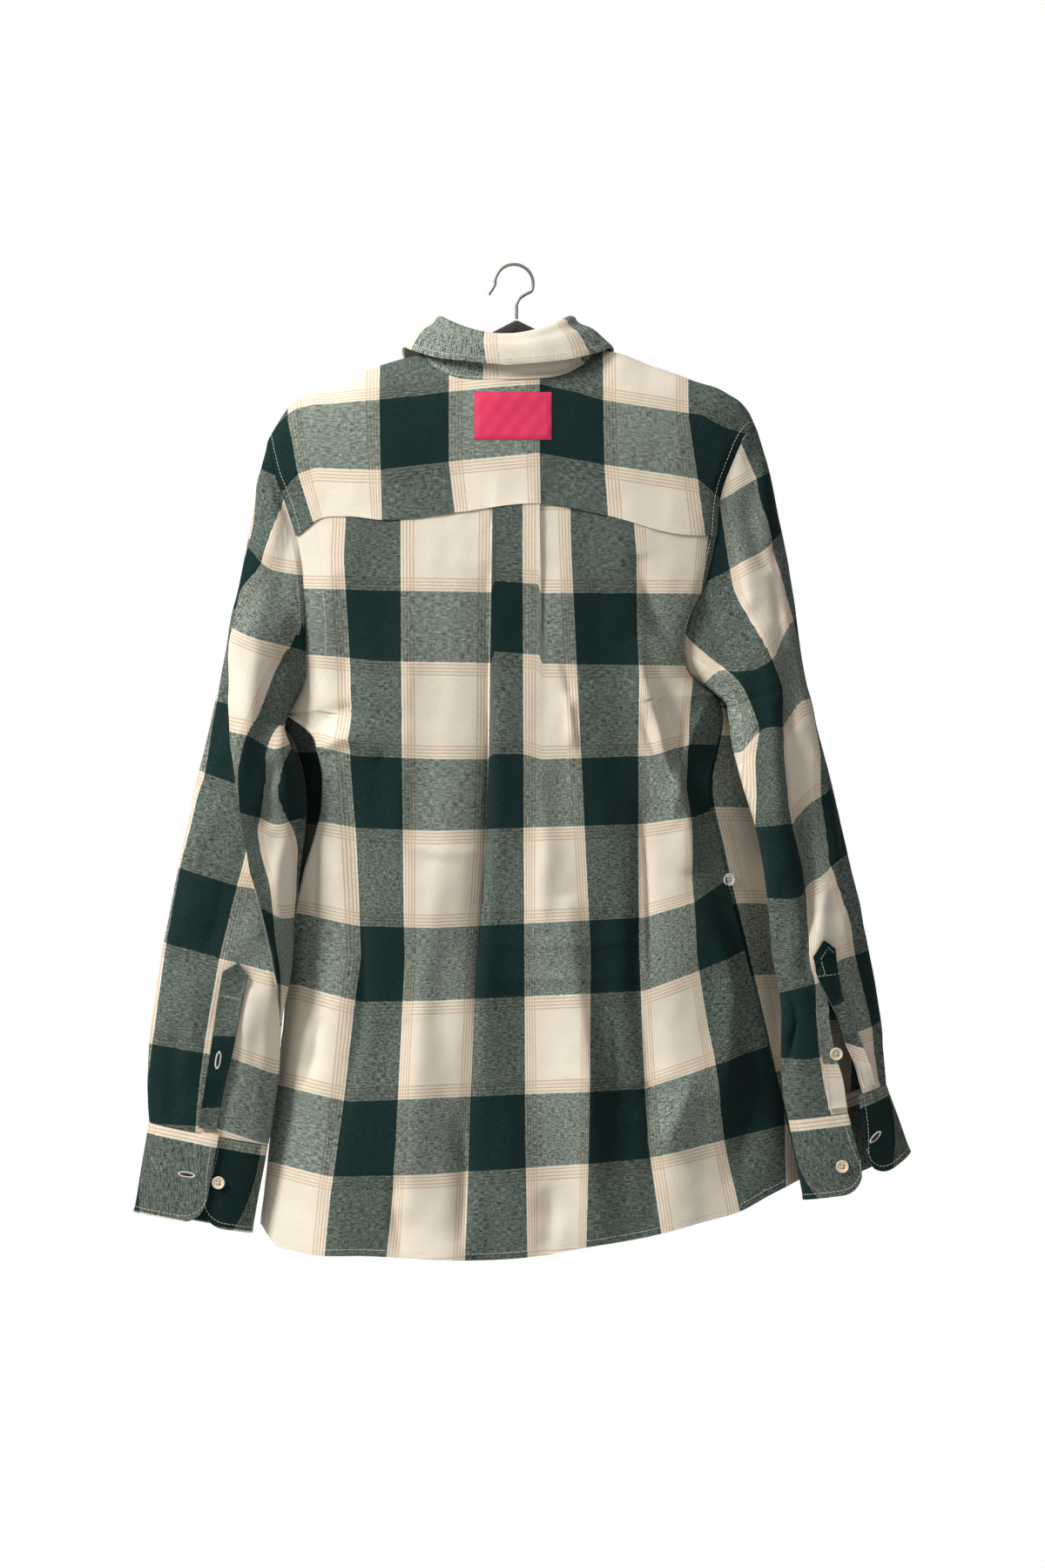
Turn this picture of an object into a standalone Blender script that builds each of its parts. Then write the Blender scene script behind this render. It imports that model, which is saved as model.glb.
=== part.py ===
# A flannel shirt on a slim hanger. Metres, +Z up. The shirt's back faces -Y and its front +Y.
# The origin is the inner top of the hanger's hook.
import math

import bmesh
import bpy
import numpy as np
from mathutils import Vector

COLLECTION = "flannel_shirt"

CLOTH = 0.0018           # wall of the body, yoke and sleeves
DOUBLE_CLOTH = 0.0024    # wall of the collar, cuffs and bands
SEAM_GAP = 0.0006        # between the edges of two pieces
LAYER_GAP = 0.0004       # between a piece and what lies on it

# Shape of a level section: sides and depth as powers of a sine and a cosine.
SIDE_POWER = 0.85
DEPTH_POWER = 0.80
RIDGE_POWER = 5.0        # how late the cloth turns in towards the shoulder ridge
ARMHOLE_OPEN = 0.14      # share of the half width that the armhole takes off the section
ARMHOLE_BLEND = 0.40     # share of the armhole's height over which it opens
FRONT_DEPTH_RATIO = 1.10

UNDERARM_Z = (-0.390, -0.374)   # left, right
STRAP_DROP = 0.032              # from the shoulder ridge down to the yoke's front seam

# The neck opening, in shares of the half width, with its drop below the ridge line.
NECK_CENTRE = -0.020
NECK_HALF = 0.347
NECK_DROP = {-1: 0.055, 1: 0.110}   # back, front

BAND_HALF = 0.082        # half width of the front band, in shares of the half width
BAND_GAP = 0.0015
COLUMN_CROWD = 0.62

# Below the underarm: share of the way down to the hem, x of both side folds, half depth, places
# of the side seams across the half back (1 is at the fold) and y of the two folds.
BODY_COLUMNS = ("share", "left", "right", "depth", "left_seam", "right_seam", "left_y", "right_y")
BODY_ROWS = (
    (0.00, -0.2037, 0.1700, 0.047, 1.000, 1.000, 0.000, 0.000),
    (0.04, -0.2030, 0.1860, 0.047, 0.860, 0.968, 0.008, 0.009),
    (0.09, -0.1970, 0.1970, 0.047, 0.831, 0.898, 0.012, 0.014),
    (0.16, -0.1900, 0.2060, 0.047, 0.856, 0.822, 0.012, 0.016),
    (0.30, -0.1910, 0.2150, 0.048, 0.926, 0.834, 0.011, 0.016),
    (0.50, -0.1912, 0.2240, 0.050, 0.996, 0.894, 0.010, 0.015),
    (0.65, -0.2022, 0.2320, 0.052, 1.000, 0.930, 0.009, 0.014),
    (0.80, -0.2105, 0.2400, 0.054, 1.000, 0.954, 0.008, 0.012),
    (1.00, -0.2219, 0.2480, 0.056, 1.000, 0.957, 0.006, 0.010),
)
UNDERARM_BASE = (-0.1900, 0.1860)   # half widths of the body apart from the armholes' notches
SHOULDER_BASE = (-0.2158, 0.2105)
BASE_BLEND = 0.09                   # share of the way down over which the notches end
NOTCH_POWER = 5.0                   # how near the edge a notch stays

# Above it: share of the way up to the shoulder ridge, x of both armhole edges.
ARMHOLE_COLUMNS = ("share", "left", "right")
ARMHOLE_ROWS = (
    (0.00, -0.2037, 0.1700),
    (0.05, -0.1925, 0.1545),
    (0.12, -0.1825, 0.1460),
    (0.20, -0.1816, 0.1475),
    (0.35, -0.1835, 0.1642),
    (0.50, -0.1870, 0.1735),
    (0.65, -0.1970, 0.1780),
    (0.80, -0.2075, 0.1908),
    (1.00, -0.2158, 0.2105),
)

RIDGE_COLUMNS = ("x", "z")     # the shoulder ridge, bridged over the neck
RIDGE_ROWS = (
    (-0.2158, -0.1520),
    (-0.2080, -0.1376),
    (-0.1990, -0.1240),
    (-0.1840, -0.1125),
    (-0.1520, -0.0996),
    (-0.1190, -0.0874),
    (-0.0810, -0.0765),
    (-0.0070, -0.0450),
    (0.0670, -0.0720),
    (0.0860, -0.0755),
    (0.1210, -0.0874),
    (0.1520, -0.0996),
    (0.1850, -0.1117),
    (0.2000, -0.1224),
    (0.2067, -0.1330),
    (0.2105, -0.1436),
)

SEAM_COLUMNS = ("x", "z")      # the yoke's seam across the back
SEAM_ROWS = (
    (-0.1885, -0.2364),
    (-0.1733, -0.2240),
    (-0.1467, -0.2204),
    (-0.1155, -0.2235),
    (-0.0524, -0.2174),
    (0.0220, -0.2098),
    (0.0813, -0.2204),
    (0.1398, -0.2356),
    (0.1649, -0.2371),
)

HEM_COLUMNS = ("x", "z")
HEM_ROWS = (
    (-0.2219, -0.8360),
    (-0.2120, -0.8500),
    (-0.1900, -0.8575),
    (-0.1300, -0.8600),
    (0.0050, -0.8610),
    (0.0670, -0.8510),
    (0.1125, -0.8436),
    (0.1580, -0.8320),
    (0.1960, -0.8216),
    (0.2190, -0.8094),
    (0.2480, -0.7960),
)
FRONT_HEM_RISE = 0.012

# A sleeve's outer and inner edge, from shoulder tip or underarm down to the cuff: x, y, z.
SLEEVE_EDGES = {
    "left": {
        "outer": (
            (-0.2158, 0.000, -0.1520),
            (-0.2212, 0.000, -0.1786),
            (-0.2303, 0.000, -0.2242),
            (-0.2485, -0.004, -0.3154),
            (-0.2607, -0.008, -0.3762),
            (-0.2744, -0.010, -0.4370),
            (-0.2880, -0.010, -0.4978),
            (-0.3002, -0.010, -0.5586),
            (-0.3116, -0.010, -0.6194),
            (-0.3192, -0.010, -0.6802),
            (-0.3207, -0.010, -0.7182),
            (-0.3192, -0.010, -0.7463),
        ),
        "inner": (
            (-0.2037, 0.000, -0.3899),
            (-0.2085, -0.004, -0.3950),
            (-0.2060, -0.011, -0.4030),
            (-0.1990, -0.018, -0.4150),
            (-0.1915, -0.023, -0.4310),
            (-0.1865, -0.021, -0.4460),
            (-0.1835, -0.022, -0.4674),
            (-0.1842, -0.022, -0.4978),
            (-0.1892, -0.022, -0.5320),
            (-0.1930, -0.022, -0.5662),
            (-0.1950, -0.022, -0.6042),
            (-0.2029, -0.022, -0.6559),
            (-0.2062, -0.020, -0.7106),
            (-0.2151, -0.016, -0.7661),
        ),
    },
    "right": {
        "outer": (
            (0.2105, 0.000, -0.1436),
            (0.2166, 0.000, -0.1634),
            (0.2303, 0.000, -0.2242),
            (0.2417, -0.004, -0.2850),
            (0.2500, -0.008, -0.3458),
            (0.2622, -0.014, -0.4066),
            (0.2774, -0.018, -0.4674),
            (0.2918, -0.020, -0.5282),
            (0.3055, -0.020, -0.5890),
            (0.3162, -0.020, -0.6498),
            (0.3200, -0.020, -0.6878),
            (0.3222, -0.020, -0.7129),
        ),
        "inner": (
            (0.1700, 0.000, -0.3739),
            (0.1775, -0.003, -0.3780),
            (0.1830, -0.010, -0.3850),
            (0.1850, -0.020, -0.3950),
            (0.1870, -0.031, -0.4140),
            (0.1961, -0.044, -0.4522),
            (0.2075, -0.046, -0.4900),
            (0.2174, -0.044, -0.5442),
            (0.2227, -0.040, -0.6042),
            (0.2288, -0.036, -0.6354),
            (0.2310, -0.030, -0.7091),
            (0.2364, -0.028, -0.7433),
        ),
    },
}
FAN_END = 0.36            # share of the sleeve over which its rings swing level
FAN_OUTER = 0.38          # share of the outer edge that the swing takes
FAN_INNER = 0.07          # and of the inner edge
SLEEVE_DEPTH = {"upper": 0.034, "elbow": 0.030, "cuff": 0.022}
SLEEVE_END = 0.999        # share at which the sleeve stops short of its cuff
SLEEVE_AWAY = (0.00078, 0.0, -0.00047)   # from the armhole out to the sleeve's first ring

# The slit above each cuff: share of the sleeve, and the angles round it (0 is the outer edge, 180
# the inner one) of the slit's two edges. The last row also gives the cuff's two ends.
SLIT_COLUMNS = ("share", "low", "high")
SLIT_ROWS = {
    "left": (
        (0.780, 108.0, 108.0),
        (0.834, 105.6, 106.4),
        (0.916, 100.1, 100.9),
        (1.000, 96.7, 98.3),
    ),
    "right": (
        (0.800, 92.0, 92.0),
        (0.840, 91.0, 91.8),
        (0.870, 83.0, 92.0),
        (0.912, 75.0, 87.5),
        (0.950, 67.0, 81.0),
        (1.000, 60.0, 79.0),
    ),
}

CUFFS = {
    "left": {
        "outer": ((-0.3192, -0.010, -0.7463), (-0.3329, -0.010, -0.8238)),
        "inner": ((-0.2151, -0.016, -0.7661), (-0.2295, -0.014, -0.8421)),
    },
    "right": {
        "outer": ((0.3222, -0.020, -0.7129), (0.3435, -0.016, -0.7714)),
        "inner": ((0.2364, -0.028, -0.7433), (0.2455, -0.026, -0.8124)),
    },
}
CUFF_DEPTH = 0.022
CUFF_CORNER = 0.018
CUFF_LEVELS = (0.008, 0.35, 0.7, 1.0)    # shares of the way down of its rows
CUFF_END_ANGLES = (0.0, 3.6, 9.6, 19.2)  # columns near its rounded ends, in degrees
CUFF_MIDDLE_COLUMNS = 15

# The bound strips beside the slits: share of the sleeve and the angles of the strip's two edges.
GAUNTLET_ROWS = {
    "left": (
        (0.752, 90.5, 113.5),
        (0.838, 88.0, 109.8),
        (0.920, 83.5, 102.8),
        (0.990, 78.5, 98.6),
    ),
    "right": (
        (0.768, 75.0, 101.0),
        (0.803, 76.5, 100.5),
        (0.840, 75.0, 91.0),
        (0.875, 67.0, 82.3),
        (0.923, 57.0, 74.0),
        (0.950, 51.0, 66.4),
        (0.990, 44.0, 59.4),
    ),
}
UNDERLAP_ROWS = {
    "right": (
        (0.848, 92.2, 108.0),
        (0.870, 92.4, 106.0),
        (0.912, 88.0, 102.6),
        (0.950, 81.6, 100.0),
        (0.990, 79.8, 100.6),
    ),
}
GAUNTLET_POINT = 0.011
GAUNTLET_STEPS = 8
UNDERLAP_STEPS = 5

STAND_LIFT = 0.0022      # from the neck's edge to the stand's lower edge
STAND_BULGE = 0.0020
LAP_START = 0.78         # the stand's lapped end moves outwards from this share of the half turn
LAP_BLEND = 0.14
LEAF_ROLL = 0.0056       # how far the leaf bows out on its way down
LEAF_ROLL_AT = ((0.66, 0.74), (0.33, 1.07))      # place on the way down, share of the bow
LEAF_TOP = ((0.0052, -0.0010), (0.0026, 0.0042), (-0.0012, 0.0052))   # the fold's rows: out, up

COLLAR = {
    "centre": -0.0095,
    "half_width": 0.058,
    "back_y": -0.036,
    "front_y": 0.046,
    "side_z": -0.0464,
    "back_z": -0.0645,
    "front_z": -0.1250,
    "lap": 0.20,
}
# The collar leaf's lower edge: angle from centre back, half width, y, z.
LEAF_COLUMNS = ("angle", "left", "right", "y", "z")
LEAF_ROWS = (
    (0, -0.0070, -0.0070, -0.0455, -0.0897),
    (30, -0.0400, 0.0300, -0.0435, -0.0865),
    (55, -0.0700, 0.0560, -0.0350, -0.0820),
    (75, -0.0900, 0.0770, -0.0180, -0.0750),
    (92, -0.0980, 0.0850, 0.0000, -0.0715),
    (115, -0.0960, 0.0820, 0.0340, -0.0880),
    (140, -0.0780, 0.0640, 0.0640, -0.1420),
    (158, -0.0560, 0.0420, 0.0750, -0.1960),
    (172, -0.0190, 0.0050, 0.0720, -0.1600),
)

# The back's box pleat: x of its two folds, width of each step, height, how far down it runs, and
# the share of the half width beside it that has no other column.
PLEAT = {"folds": (-0.0198, 0.0213), "step": 0.003, "height": 0.0032, "fade": (0.5, -0.6),
         "clear": 0.03}

LABEL = {"x": (-0.0357, 0.0312), "z": (-0.1543, -0.1125), "wall": 0.0010, "squares": (6, 4)}

BUTTON = {"radius": 0.0055, "thick": 0.0022, "edge": 0.0005, "sides": 16}
BUTTON_PLACES = {                # x and z of the others
    "cuff_button_left": (-0.2584, -0.7972),
    "cuff_button_right": (0.2820, -0.7828),
    "underlap_button_right": (0.2759, -0.6840),
    "side_button": (0.1839, -0.5343),
}
FRONT_BUTTONS = 7
FRONT_BUTTON_LEVELS = (0.47, -0.72)
LEVEL_STEP = 0.02        # over which the front's slope is read at each button

HOOK = {
    "wire": 0.0014,
    "radius": 0.0167,
    "centre": (-0.0015, -0.0153),
    "sweep": (183, -22, 15),     # degrees from its first to its last bent point, and their number
    "tip": ((-0.0236, -0.0250), (-0.0200, -0.0195)),
    "stem": ((0.0090, -0.0246), (0.0036, -0.0284), (0.0012, -0.0325), (0.0008, -0.0390)),
}
HANGER = {"peak": (0.0008, -0.0490), "tips": (-0.190, 0.192), "height": 0.011, "thick": 0.008,
          "below_ridge": 0.0060, "neck_half": 0.084, "neck_sink": 0.007, "columns": 27,
          "blunt": 0.06}

LEAF_STEPS = np.array((0, 15, 30, 42, 55, 66, 76, 85, 93, 104, 116, 128, 140, 150, 157, 163, 172.0))

# How many squares each piece has across its parts.
NECK_COLUMNS = 8
SHOULDER_COLUMNS = 7
EDGE_SHARE = 0.04        # width of the narrow column at a side seam
BODY_LEVELS = 9
BACK_STEPS = (0.09, 0.22, 0.42, 0.70, 1.00)
FRONT_STEPS = (0.06, 0.14, 0.28, 0.50, 0.72, 0.92, 1.00)
YOKE_STEPS = 4
STRAP_STEPS = 3
SLEEVE_RINGS = 15
SLIT_RINGS = 5
BAND_COLUMNS = 4
STRIP_COLUMNS = 4
LEVEL_CROWD = 1.4        # how much the body's levels crowd towards the underarm

# The fine grids that give a button's place on the cloth.
DENSE_COLUMNS = 90
DENSE_ROWS = 200
DENSE_MARGIN = 0.05      # radians left out beside a sleeve's edges

COLOURS = {
    "flannel": ((0.30, 0.33, 0.27), 0.92, 0.0),
    "label": ((0.69, 0.05, 0.12), 0.60, 0.0),
    "button": ((0.80, 0.74, 0.62), 0.35, 0.0),
    "hanger": ((0.05, 0.045, 0.045), 0.80, 0.0),
    "wire": ((0.62, 0.60, 0.58), 0.30, 1.0),
}


def read_table(columns, rows):
    return dict(zip(columns, np.array(rows, dtype=float).T))


BODY = read_table(BODY_COLUMNS, BODY_ROWS)
ARMHOLE = read_table(ARMHOLE_COLUMNS, ARMHOLE_ROWS)
RIDGE = read_table(RIDGE_COLUMNS, RIDGE_ROWS)
YOKE_SEAM = read_table(SEAM_COLUMNS, SEAM_ROWS)
HEM = read_table(HEM_COLUMNS, HEM_ROWS)
LEAF = read_table(LEAF_COLUMNS, LEAF_ROWS)
SLIT = {side: read_table(SLIT_COLUMNS, rows) for side, rows in SLIT_ROWS.items()}
GAUNTLET = {side: read_table(SLIT_COLUMNS, rows) for side, rows in GAUNTLET_ROWS.items()}
UNDERLAP = {side: read_table(SLIT_COLUMNS, rows) for side, rows in UNDERLAP_ROWS.items()}


def clear_scene():
    for obj in list(bpy.data.objects):
        bpy.data.objects.remove(obj, do_unlink=True)


def curve(at, knots, values):
    # a smooth curve through the table's rows
    knots = np.asarray(knots, dtype=float)
    values = np.asarray(values, dtype=float)
    slopes = np.gradient(values, knots)
    at = np.clip(np.asarray(at, dtype=float), knots[0], knots[-1])
    low = np.clip(np.searchsorted(knots, at) - 1, 0, len(knots) - 2)
    step = knots[low + 1] - knots[low]
    f = (at - knots[low]) / step
    rise = values[low + 1] - values[low]
    return (
        values[low]
        + rise * f * f * (3 - 2 * f)
        + step * slopes[low] * f * (1 - f) ** 2
        - step * slopes[low + 1] * f * f * (1 - f)
    )


def ease(f):
    f = np.clip(f, 0.0, 1.0)
    return f * f * (3 - 2 * f)


def column_share(across, up=1.0):
    # share of the half width at a place across (-1 to 1); near and below the underarm the
    # columns crowd towards the folds
    size = np.abs(across)
    crowd = COLUMN_CROWD * (1 - ease(up / ARMHOLE_BLEND))
    return np.sign(across) * (size + crowd * size**3 * (1 - size))


def section_angle(share):
    return np.arcsin(np.clip(np.abs(share), 0, 1) ** (1 / SIDE_POWER))


def across_body(share, level):
    # x at this share of the half width; the armholes' notches stay near the edges
    up, down = np.clip(level, 0, 1), np.clip(-level, 0, 1)
    x = np.zeros(np.broadcast(share, level).shape)
    for number, side in enumerate(("left", "right")):
        lower = curve(down, BODY["share"], BODY[side])
        upper = curve(up, ARMHOLE["share"], ARMHOLE[side])
        edge = np.where(level < 0, lower, upper)
        under, shoulder = UNDERARM_BASE[number], SHOULDER_BASE[number]
        blend = ease(down / BASE_BLEND)
        base = np.where(level < 0, under + (lower - under) * blend, under + (shoulder - under) * up)
        sign = -1 if side == "left" else 1
        part = np.clip(sign * share, 0, 1)
        x = x + base * part + (edge - base) * part**NOTCH_POWER
    return x


def underarm_z(across):
    left, right = UNDERARM_Z
    return left + (right - left) * (across + 1) / 2


def body_depth(layer, down):
    depth = curve(down, BODY["share"], BODY["depth"])
    return depth * np.where(layer > 0, FRONT_DEPTH_RATIO, 1.0)


def lower_torso(across, down, layer):
    # from the underarm (down 0) to the hem (down 1)
    left_seam = section_angle(np.minimum(curve(down, BODY["share"], BODY["left_seam"]), 1.0))
    right_seam = section_angle(np.minimum(curve(down, BODY["share"], BODY["right_seam"]), 1.0))
    seam = np.where(across > 0, right_seam, left_seam)
    reach = np.where(layer < 0, seam, math.pi - seam)
    angle = section_angle(column_share(across, 0.0)) * reach / (math.pi / 2)
    share = np.sign(across) * np.clip(np.sin(angle), 0, 1) ** SIDE_POWER
    cosine = np.cos(angle)
    x = across_body(share, -down)
    left_y = curve(down, BODY["share"], BODY["left_y"]) * np.clip(-share, 0, 1) ** 4
    right_y = curve(down, BODY["share"], BODY["right_y"]) * np.clip(share, 0, 1) ** 4
    depth = body_depth(layer * np.sign(cosine), down)
    y = layer * depth * np.sign(cosine) * np.abs(cosine) ** DEPTH_POWER
    y = y + left_y + right_y
    centre_rise = np.where(layer > 0, FRONT_HEM_RISE * (1 - share**2), 0.0)
    hem = curve(x, HEM["x"], HEM["z"]) + centre_rise
    top = underarm_z(across)
    return np.stack([x, y, top + (hem - top) * down], axis=-1)


def upper_torso(across, up, layer):
    # from the underarm (up 0) to the shoulder ridge (up 1)
    share = column_share(across, up)
    x = across_body(share, up)
    top = curve(x, RIDGE["x"], RIDGE["z"])
    low = underarm_z(across)
    keep = 1 - ARMHOLE_OPEN * ease(up / ARMHOLE_BLEND)
    angle = section_angle(share * keep)
    depth = body_depth(layer, 0.0) * np.sqrt(1 - np.clip(up, 0, 1) ** RIDGE_POWER)
    y = layer * depth * np.cos(angle) ** DEPTH_POWER
    return np.stack([x, y, low + (top - low) * up], axis=-1)


def torso(across, level, layer):
    # level runs from -1 at the hem through 0 at the underarm to 1 at the ridge
    across, level, layer = np.broadcast_arrays(
        np.asarray(across, float), np.asarray(level, float), np.asarray(layer, float)
    )
    lower = lower_torso(across, np.clip(-level, 0, 1), layer)
    upper = upper_torso(across, np.clip(level, 0, 1), layer)
    return np.where((level < 0)[..., None], lower, upper)


def armhole_height(across, level):
    # height of the ridge above the underarm at this place
    x = torso(across, level, -1)[..., 0]
    return curve(x, RIDGE["x"], RIDGE["z"]) - underarm_z(across)


def yoke_seam_level(across):
    level = np.full(np.shape(across), 0.55)
    for _ in range(4):
        x = torso(across, level, -1)[..., 0]
        seam = curve(x, YOKE_SEAM["x"], YOKE_SEAM["z"])
        level = (seam - underarm_z(across)) / armhole_height(across, level)
    return level


def neck_level(across, layer):
    # level of the neck's edge; 1 outside the neck
    off = np.clip((across - NECK_CENTRE) / NECK_HALF, -1, 1)
    drop = NECK_DROP[layer] * np.sqrt(1 - off**2)
    level = np.full(np.shape(across), 0.9)
    for _ in range(4):
        level = 1 - drop / armhole_height(across, level)
    return level


def strap_level(across):
    level = np.full(np.shape(across), 0.9)
    for _ in range(3):
        level = 1 - STRAP_DROP / armhole_height(across, level)
    return level


def neck_side(side, drop):
    # place across of the neck's front edge, this far below the ridge
    off = math.sqrt(max(0.0, 1 - (drop / NECK_DROP[1]) ** 2))
    return NECK_CENTRE + side * NECK_HALF * off


def shoulder_columns(side, inner):
    # from the neck's side to the armhole, with one narrow column at its edge
    shares = np.append(np.linspace(0, 1, SHOULDER_COLUMNS), 1.0)
    shares[-2] = 1 - EDGE_SHARE
    return inner + (side - inner) * shares


def neck_across(angle):
    return NECK_CENTRE + NECK_HALF * np.sin(angle)


def back_columns():
    left, right = neck_side(-1, 0.0), neck_side(1, 0.0)
    return np.concatenate(
        [
            shoulder_columns(-1, left)[:0:-1],
            neck_across(np.linspace(-math.pi / 2, math.pi / 2, NECK_COLUMNS + 1)),
            shoulder_columns(1, right)[1:],
        ]
    )


def body_levels():
    return -np.linspace(1, 0, BODY_LEVELS + 1) ** LEVEL_CROWD


def gap_level(across):
    return SEAM_GAP / 2 / armhole_height(across, np.full(np.shape(across), 0.5))


def inside(across):
    # leaves the seam gap at the side seams and armholes
    edge = 1 - SEAM_GAP / 0.5
    return np.clip(across, -edge, edge)


def pleat_columns():
    # the back's own columns, with two close ones at each fold of the pleat
    columns = back_columns()
    left, right = SHOULDER_BASE
    marks = []
    for fold, side in zip(PLEAT["folds"], (-1, 1)):
        for place in (fold, fold + side * PLEAT["step"]):
            marks.append(place / (right if place > 0 else -left))
    first, last = min(marks) - PLEAT["clear"], max(marks) + PLEAT["clear"]
    outside = columns[(columns < first) | (columns > last)]
    return np.sort(np.concatenate([outside, marks, [sum(marks) / len(marks)]]))


def pleat_height(across, level):
    folds = sorted(PLEAT["folds"])
    start, end = PLEAT["fade"]
    fade = ease((level - end) / (start - end))
    off = np.maximum(folds[0] / -SHOULDER_BASE[0] - across, across - folds[1] / SHOULDER_BASE[1])
    step = PLEAT["step"] / SHOULDER_BASE[1]
    return PLEAT["height"] * fade * (1 - np.clip(off / step, 0, 1))


def back_panel_points():
    across = pleat_columns()
    top = yoke_seam_level(across) - gap_level(across)
    levels = [np.full(across.shape, level) for level in body_levels()]
    levels += [top * step for step in BACK_STEPS]
    rows = []
    for level in levels:
        row = torso(inside(across), level, -1)
        row[:, 1] -= pleat_height(across, level)
        rows.append(row)
    return np.array(rows)


def yoke_points():
    # up the back to the neck or ridge, then down the front straps
    across = back_columns()
    bottom = yoke_seam_level(across) + gap_level(across)
    top = neck_level(across, -1)
    rows = []
    for step in range(YOKE_STEPS + 1):
        short = (1 - step / YOKE_STEPS) ** 2
        rows.append(torso(inside(across), top - (top - bottom) * short, -1))
    for step in range(1, STRAP_STEPS + 1):
        drop = STRAP_DROP * (step / STRAP_STEPS) ** 2
        rows.append(strap_row(across, drop))
    return np.array(rows)


def strap_row(across, drop):
    moved = across.copy()
    for side in (-1, 1):
        edge = neck_side(side, 0.0)
        inner = neck_side(side, drop)
        out = side * across >= side * edge - 1e-6
        moved[out] = side - (side - across[out]) * (side - inner) / (side - edge)
    level = 1 - drop / armhole_height(moved, np.full(moved.shape, 0.95))
    if drop == STRAP_DROP:
        level = strap_level(moved) + 2 * gap_level(moved)
    return torso(inside(moved), level, 1)


def front_columns(side):
    # from the front band's edge to the side seam
    angles = side * front_neck_angles()
    near = neck_across(angles)
    near[0] += side * BAND_GAP
    return np.concatenate([near, shoulder_columns(side, near[-1])[1:]])


def front_neck_angles():
    # from the band's edge round to the strap's seam
    band = math.asin(BAND_HALF / NECK_HALF)
    corner = math.acos(STRAP_DROP / NECK_DROP[1])
    return np.linspace(band, corner, NECK_COLUMNS // 2 + 1)


def front_top(across):
    return np.minimum(neck_level(across, 1), strap_level(across)) - 2 * gap_level(across)


def front_points(side):
    across = front_columns(side)
    top = front_top(across)
    rows = [torso(inside(across), level, 1) for level in body_levels()]
    rows += [torso(inside(across), top * step, 1) for step in FRONT_STEPS]
    points = np.array(rows)
    return points if side < 0 else points[:, ::-1]


def band_points():
    edge = math.asin(BAND_HALF / NECK_HALF)
    across = neck_across(np.linspace(-edge, edge, BAND_COLUMNS))
    across[0] += BAND_GAP
    across[-1] -= BAND_GAP
    top = front_top(across)
    rows = [torso(across, level, 1) for level in body_levels()]
    rows += [torso(across, top * step, 1) for step in FRONT_STEPS]
    return np.array(rows)[:, ::-1]


def place_along(points, share):
    # a smooth path through the edge's points, by share of its length
    points = np.asarray(points, dtype=float)
    lengths = np.concatenate([[0], np.cumsum(np.linalg.norm(np.diff(points, axis=0), axis=1))])
    at = np.asarray(share, dtype=float) * lengths[-1]
    return np.stack([curve(at, lengths, points[:, axis]) for axis in range(3)], axis=-1)


def fan(share, taken):
    # the rings swing level over the first part of the sleeve, then go down it evenly
    early = taken * np.clip(share / FAN_END, 0, 1)
    late = (1 - taken) * np.clip((share - FAN_END) / (1 - FAN_END), 0, 1)
    return early + late


def armhole_point(side, angle):
    level = (1 + np.cos(angle)) / 2
    layer = np.where(np.sin(angle) >= 0, -1.0, 1.0)
    across = -1.0 if side == "left" else 1.0
    return torso(across, level, layer)


def sleeve_depth(share):
    knots = (0.0, FAN_END, 0.65, 1.0)
    values = (SLEEVE_DEPTH["upper"], SLEEVE_DEPTH["upper"], SLEEVE_DEPTH["elbow"], SLEEVE_DEPTH["cuff"])
    return curve(share, knots, values)


def ring_point(outer, inner, angle, depth):
    across = ((1 - np.cos(angle)) / 2)[..., None]
    point = outer + (inner - outer) * across
    point[..., 1] -= depth * np.sign(np.sin(angle)) * np.abs(np.sin(angle)) ** DEPTH_POWER
    return point


def sleeve_point(side, angle, share):
    angle, share = np.broadcast_arrays(np.asarray(angle, float), np.asarray(share, float))
    edges = SLEEVE_EDGES[side]
    outer = place_along(edges["outer"], fan(share, FAN_OUTER))
    inner = place_along(edges["inner"], fan(share, FAN_INNER))
    ring = ring_point(outer, inner, angle, sleeve_depth(share))
    hole = armhole_point(side, angle)
    tip = np.asarray(edges["outer"][0])
    pit = np.asarray(edges["inner"][0])
    line = tip + (pit - tip) * ((1 - np.cos(angle)) / 2)[..., None]
    flat_ring = ring_point(outer, inner, angle, np.zeros(share.shape))
    keep = (1 - ease(share / FAN_END))[..., None]
    away = np.array(SLEEVE_AWAY) * (-1.0 if side == "left" else 1.0, 1.0, 1.0)
    return ring * (1 - keep) + (flat_ring + hole - line + away) * keep


def slit_edges(side, share):
    # angles of the slit's two edges at this share of the sleeve; equal above it
    rows = SLIT[side]
    low = np.interp(share, rows["share"], rows["low"])
    high = np.interp(share, rows["share"], rows["high"])
    return np.radians(low), np.radians(high)


def sleeve_angles(side):
    # the armhole's own levels, as angles round the sleeve from the outer edge
    across = np.array([-1.0 if side == "left" else 1.0])
    seam = float(yoke_seam_level(across)[0])
    strap = float(strap_level(across)[0])
    back = [seam * step for step in (0.0, *BACK_STEPS)]
    back += [1 - (1 - seam) * (1 - k / YOKE_STEPS) ** 2 for k in range(1, YOKE_STEPS + 1)]
    front = [strap * step for step in (0.0, *FRONT_STEPS)]
    front += [1 - (1 - strap) * (k / STRAP_STEPS) ** 2 for k in range(STRAP_STEPS - 1, -1, -1)]
    back_angles = [math.acos(2 * level - 1) for level in reversed(back)]
    front_angles = [2 * math.pi - math.acos(2 * level - 1) for level in front]
    return np.array(back_angles + front_angles[1:])


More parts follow.
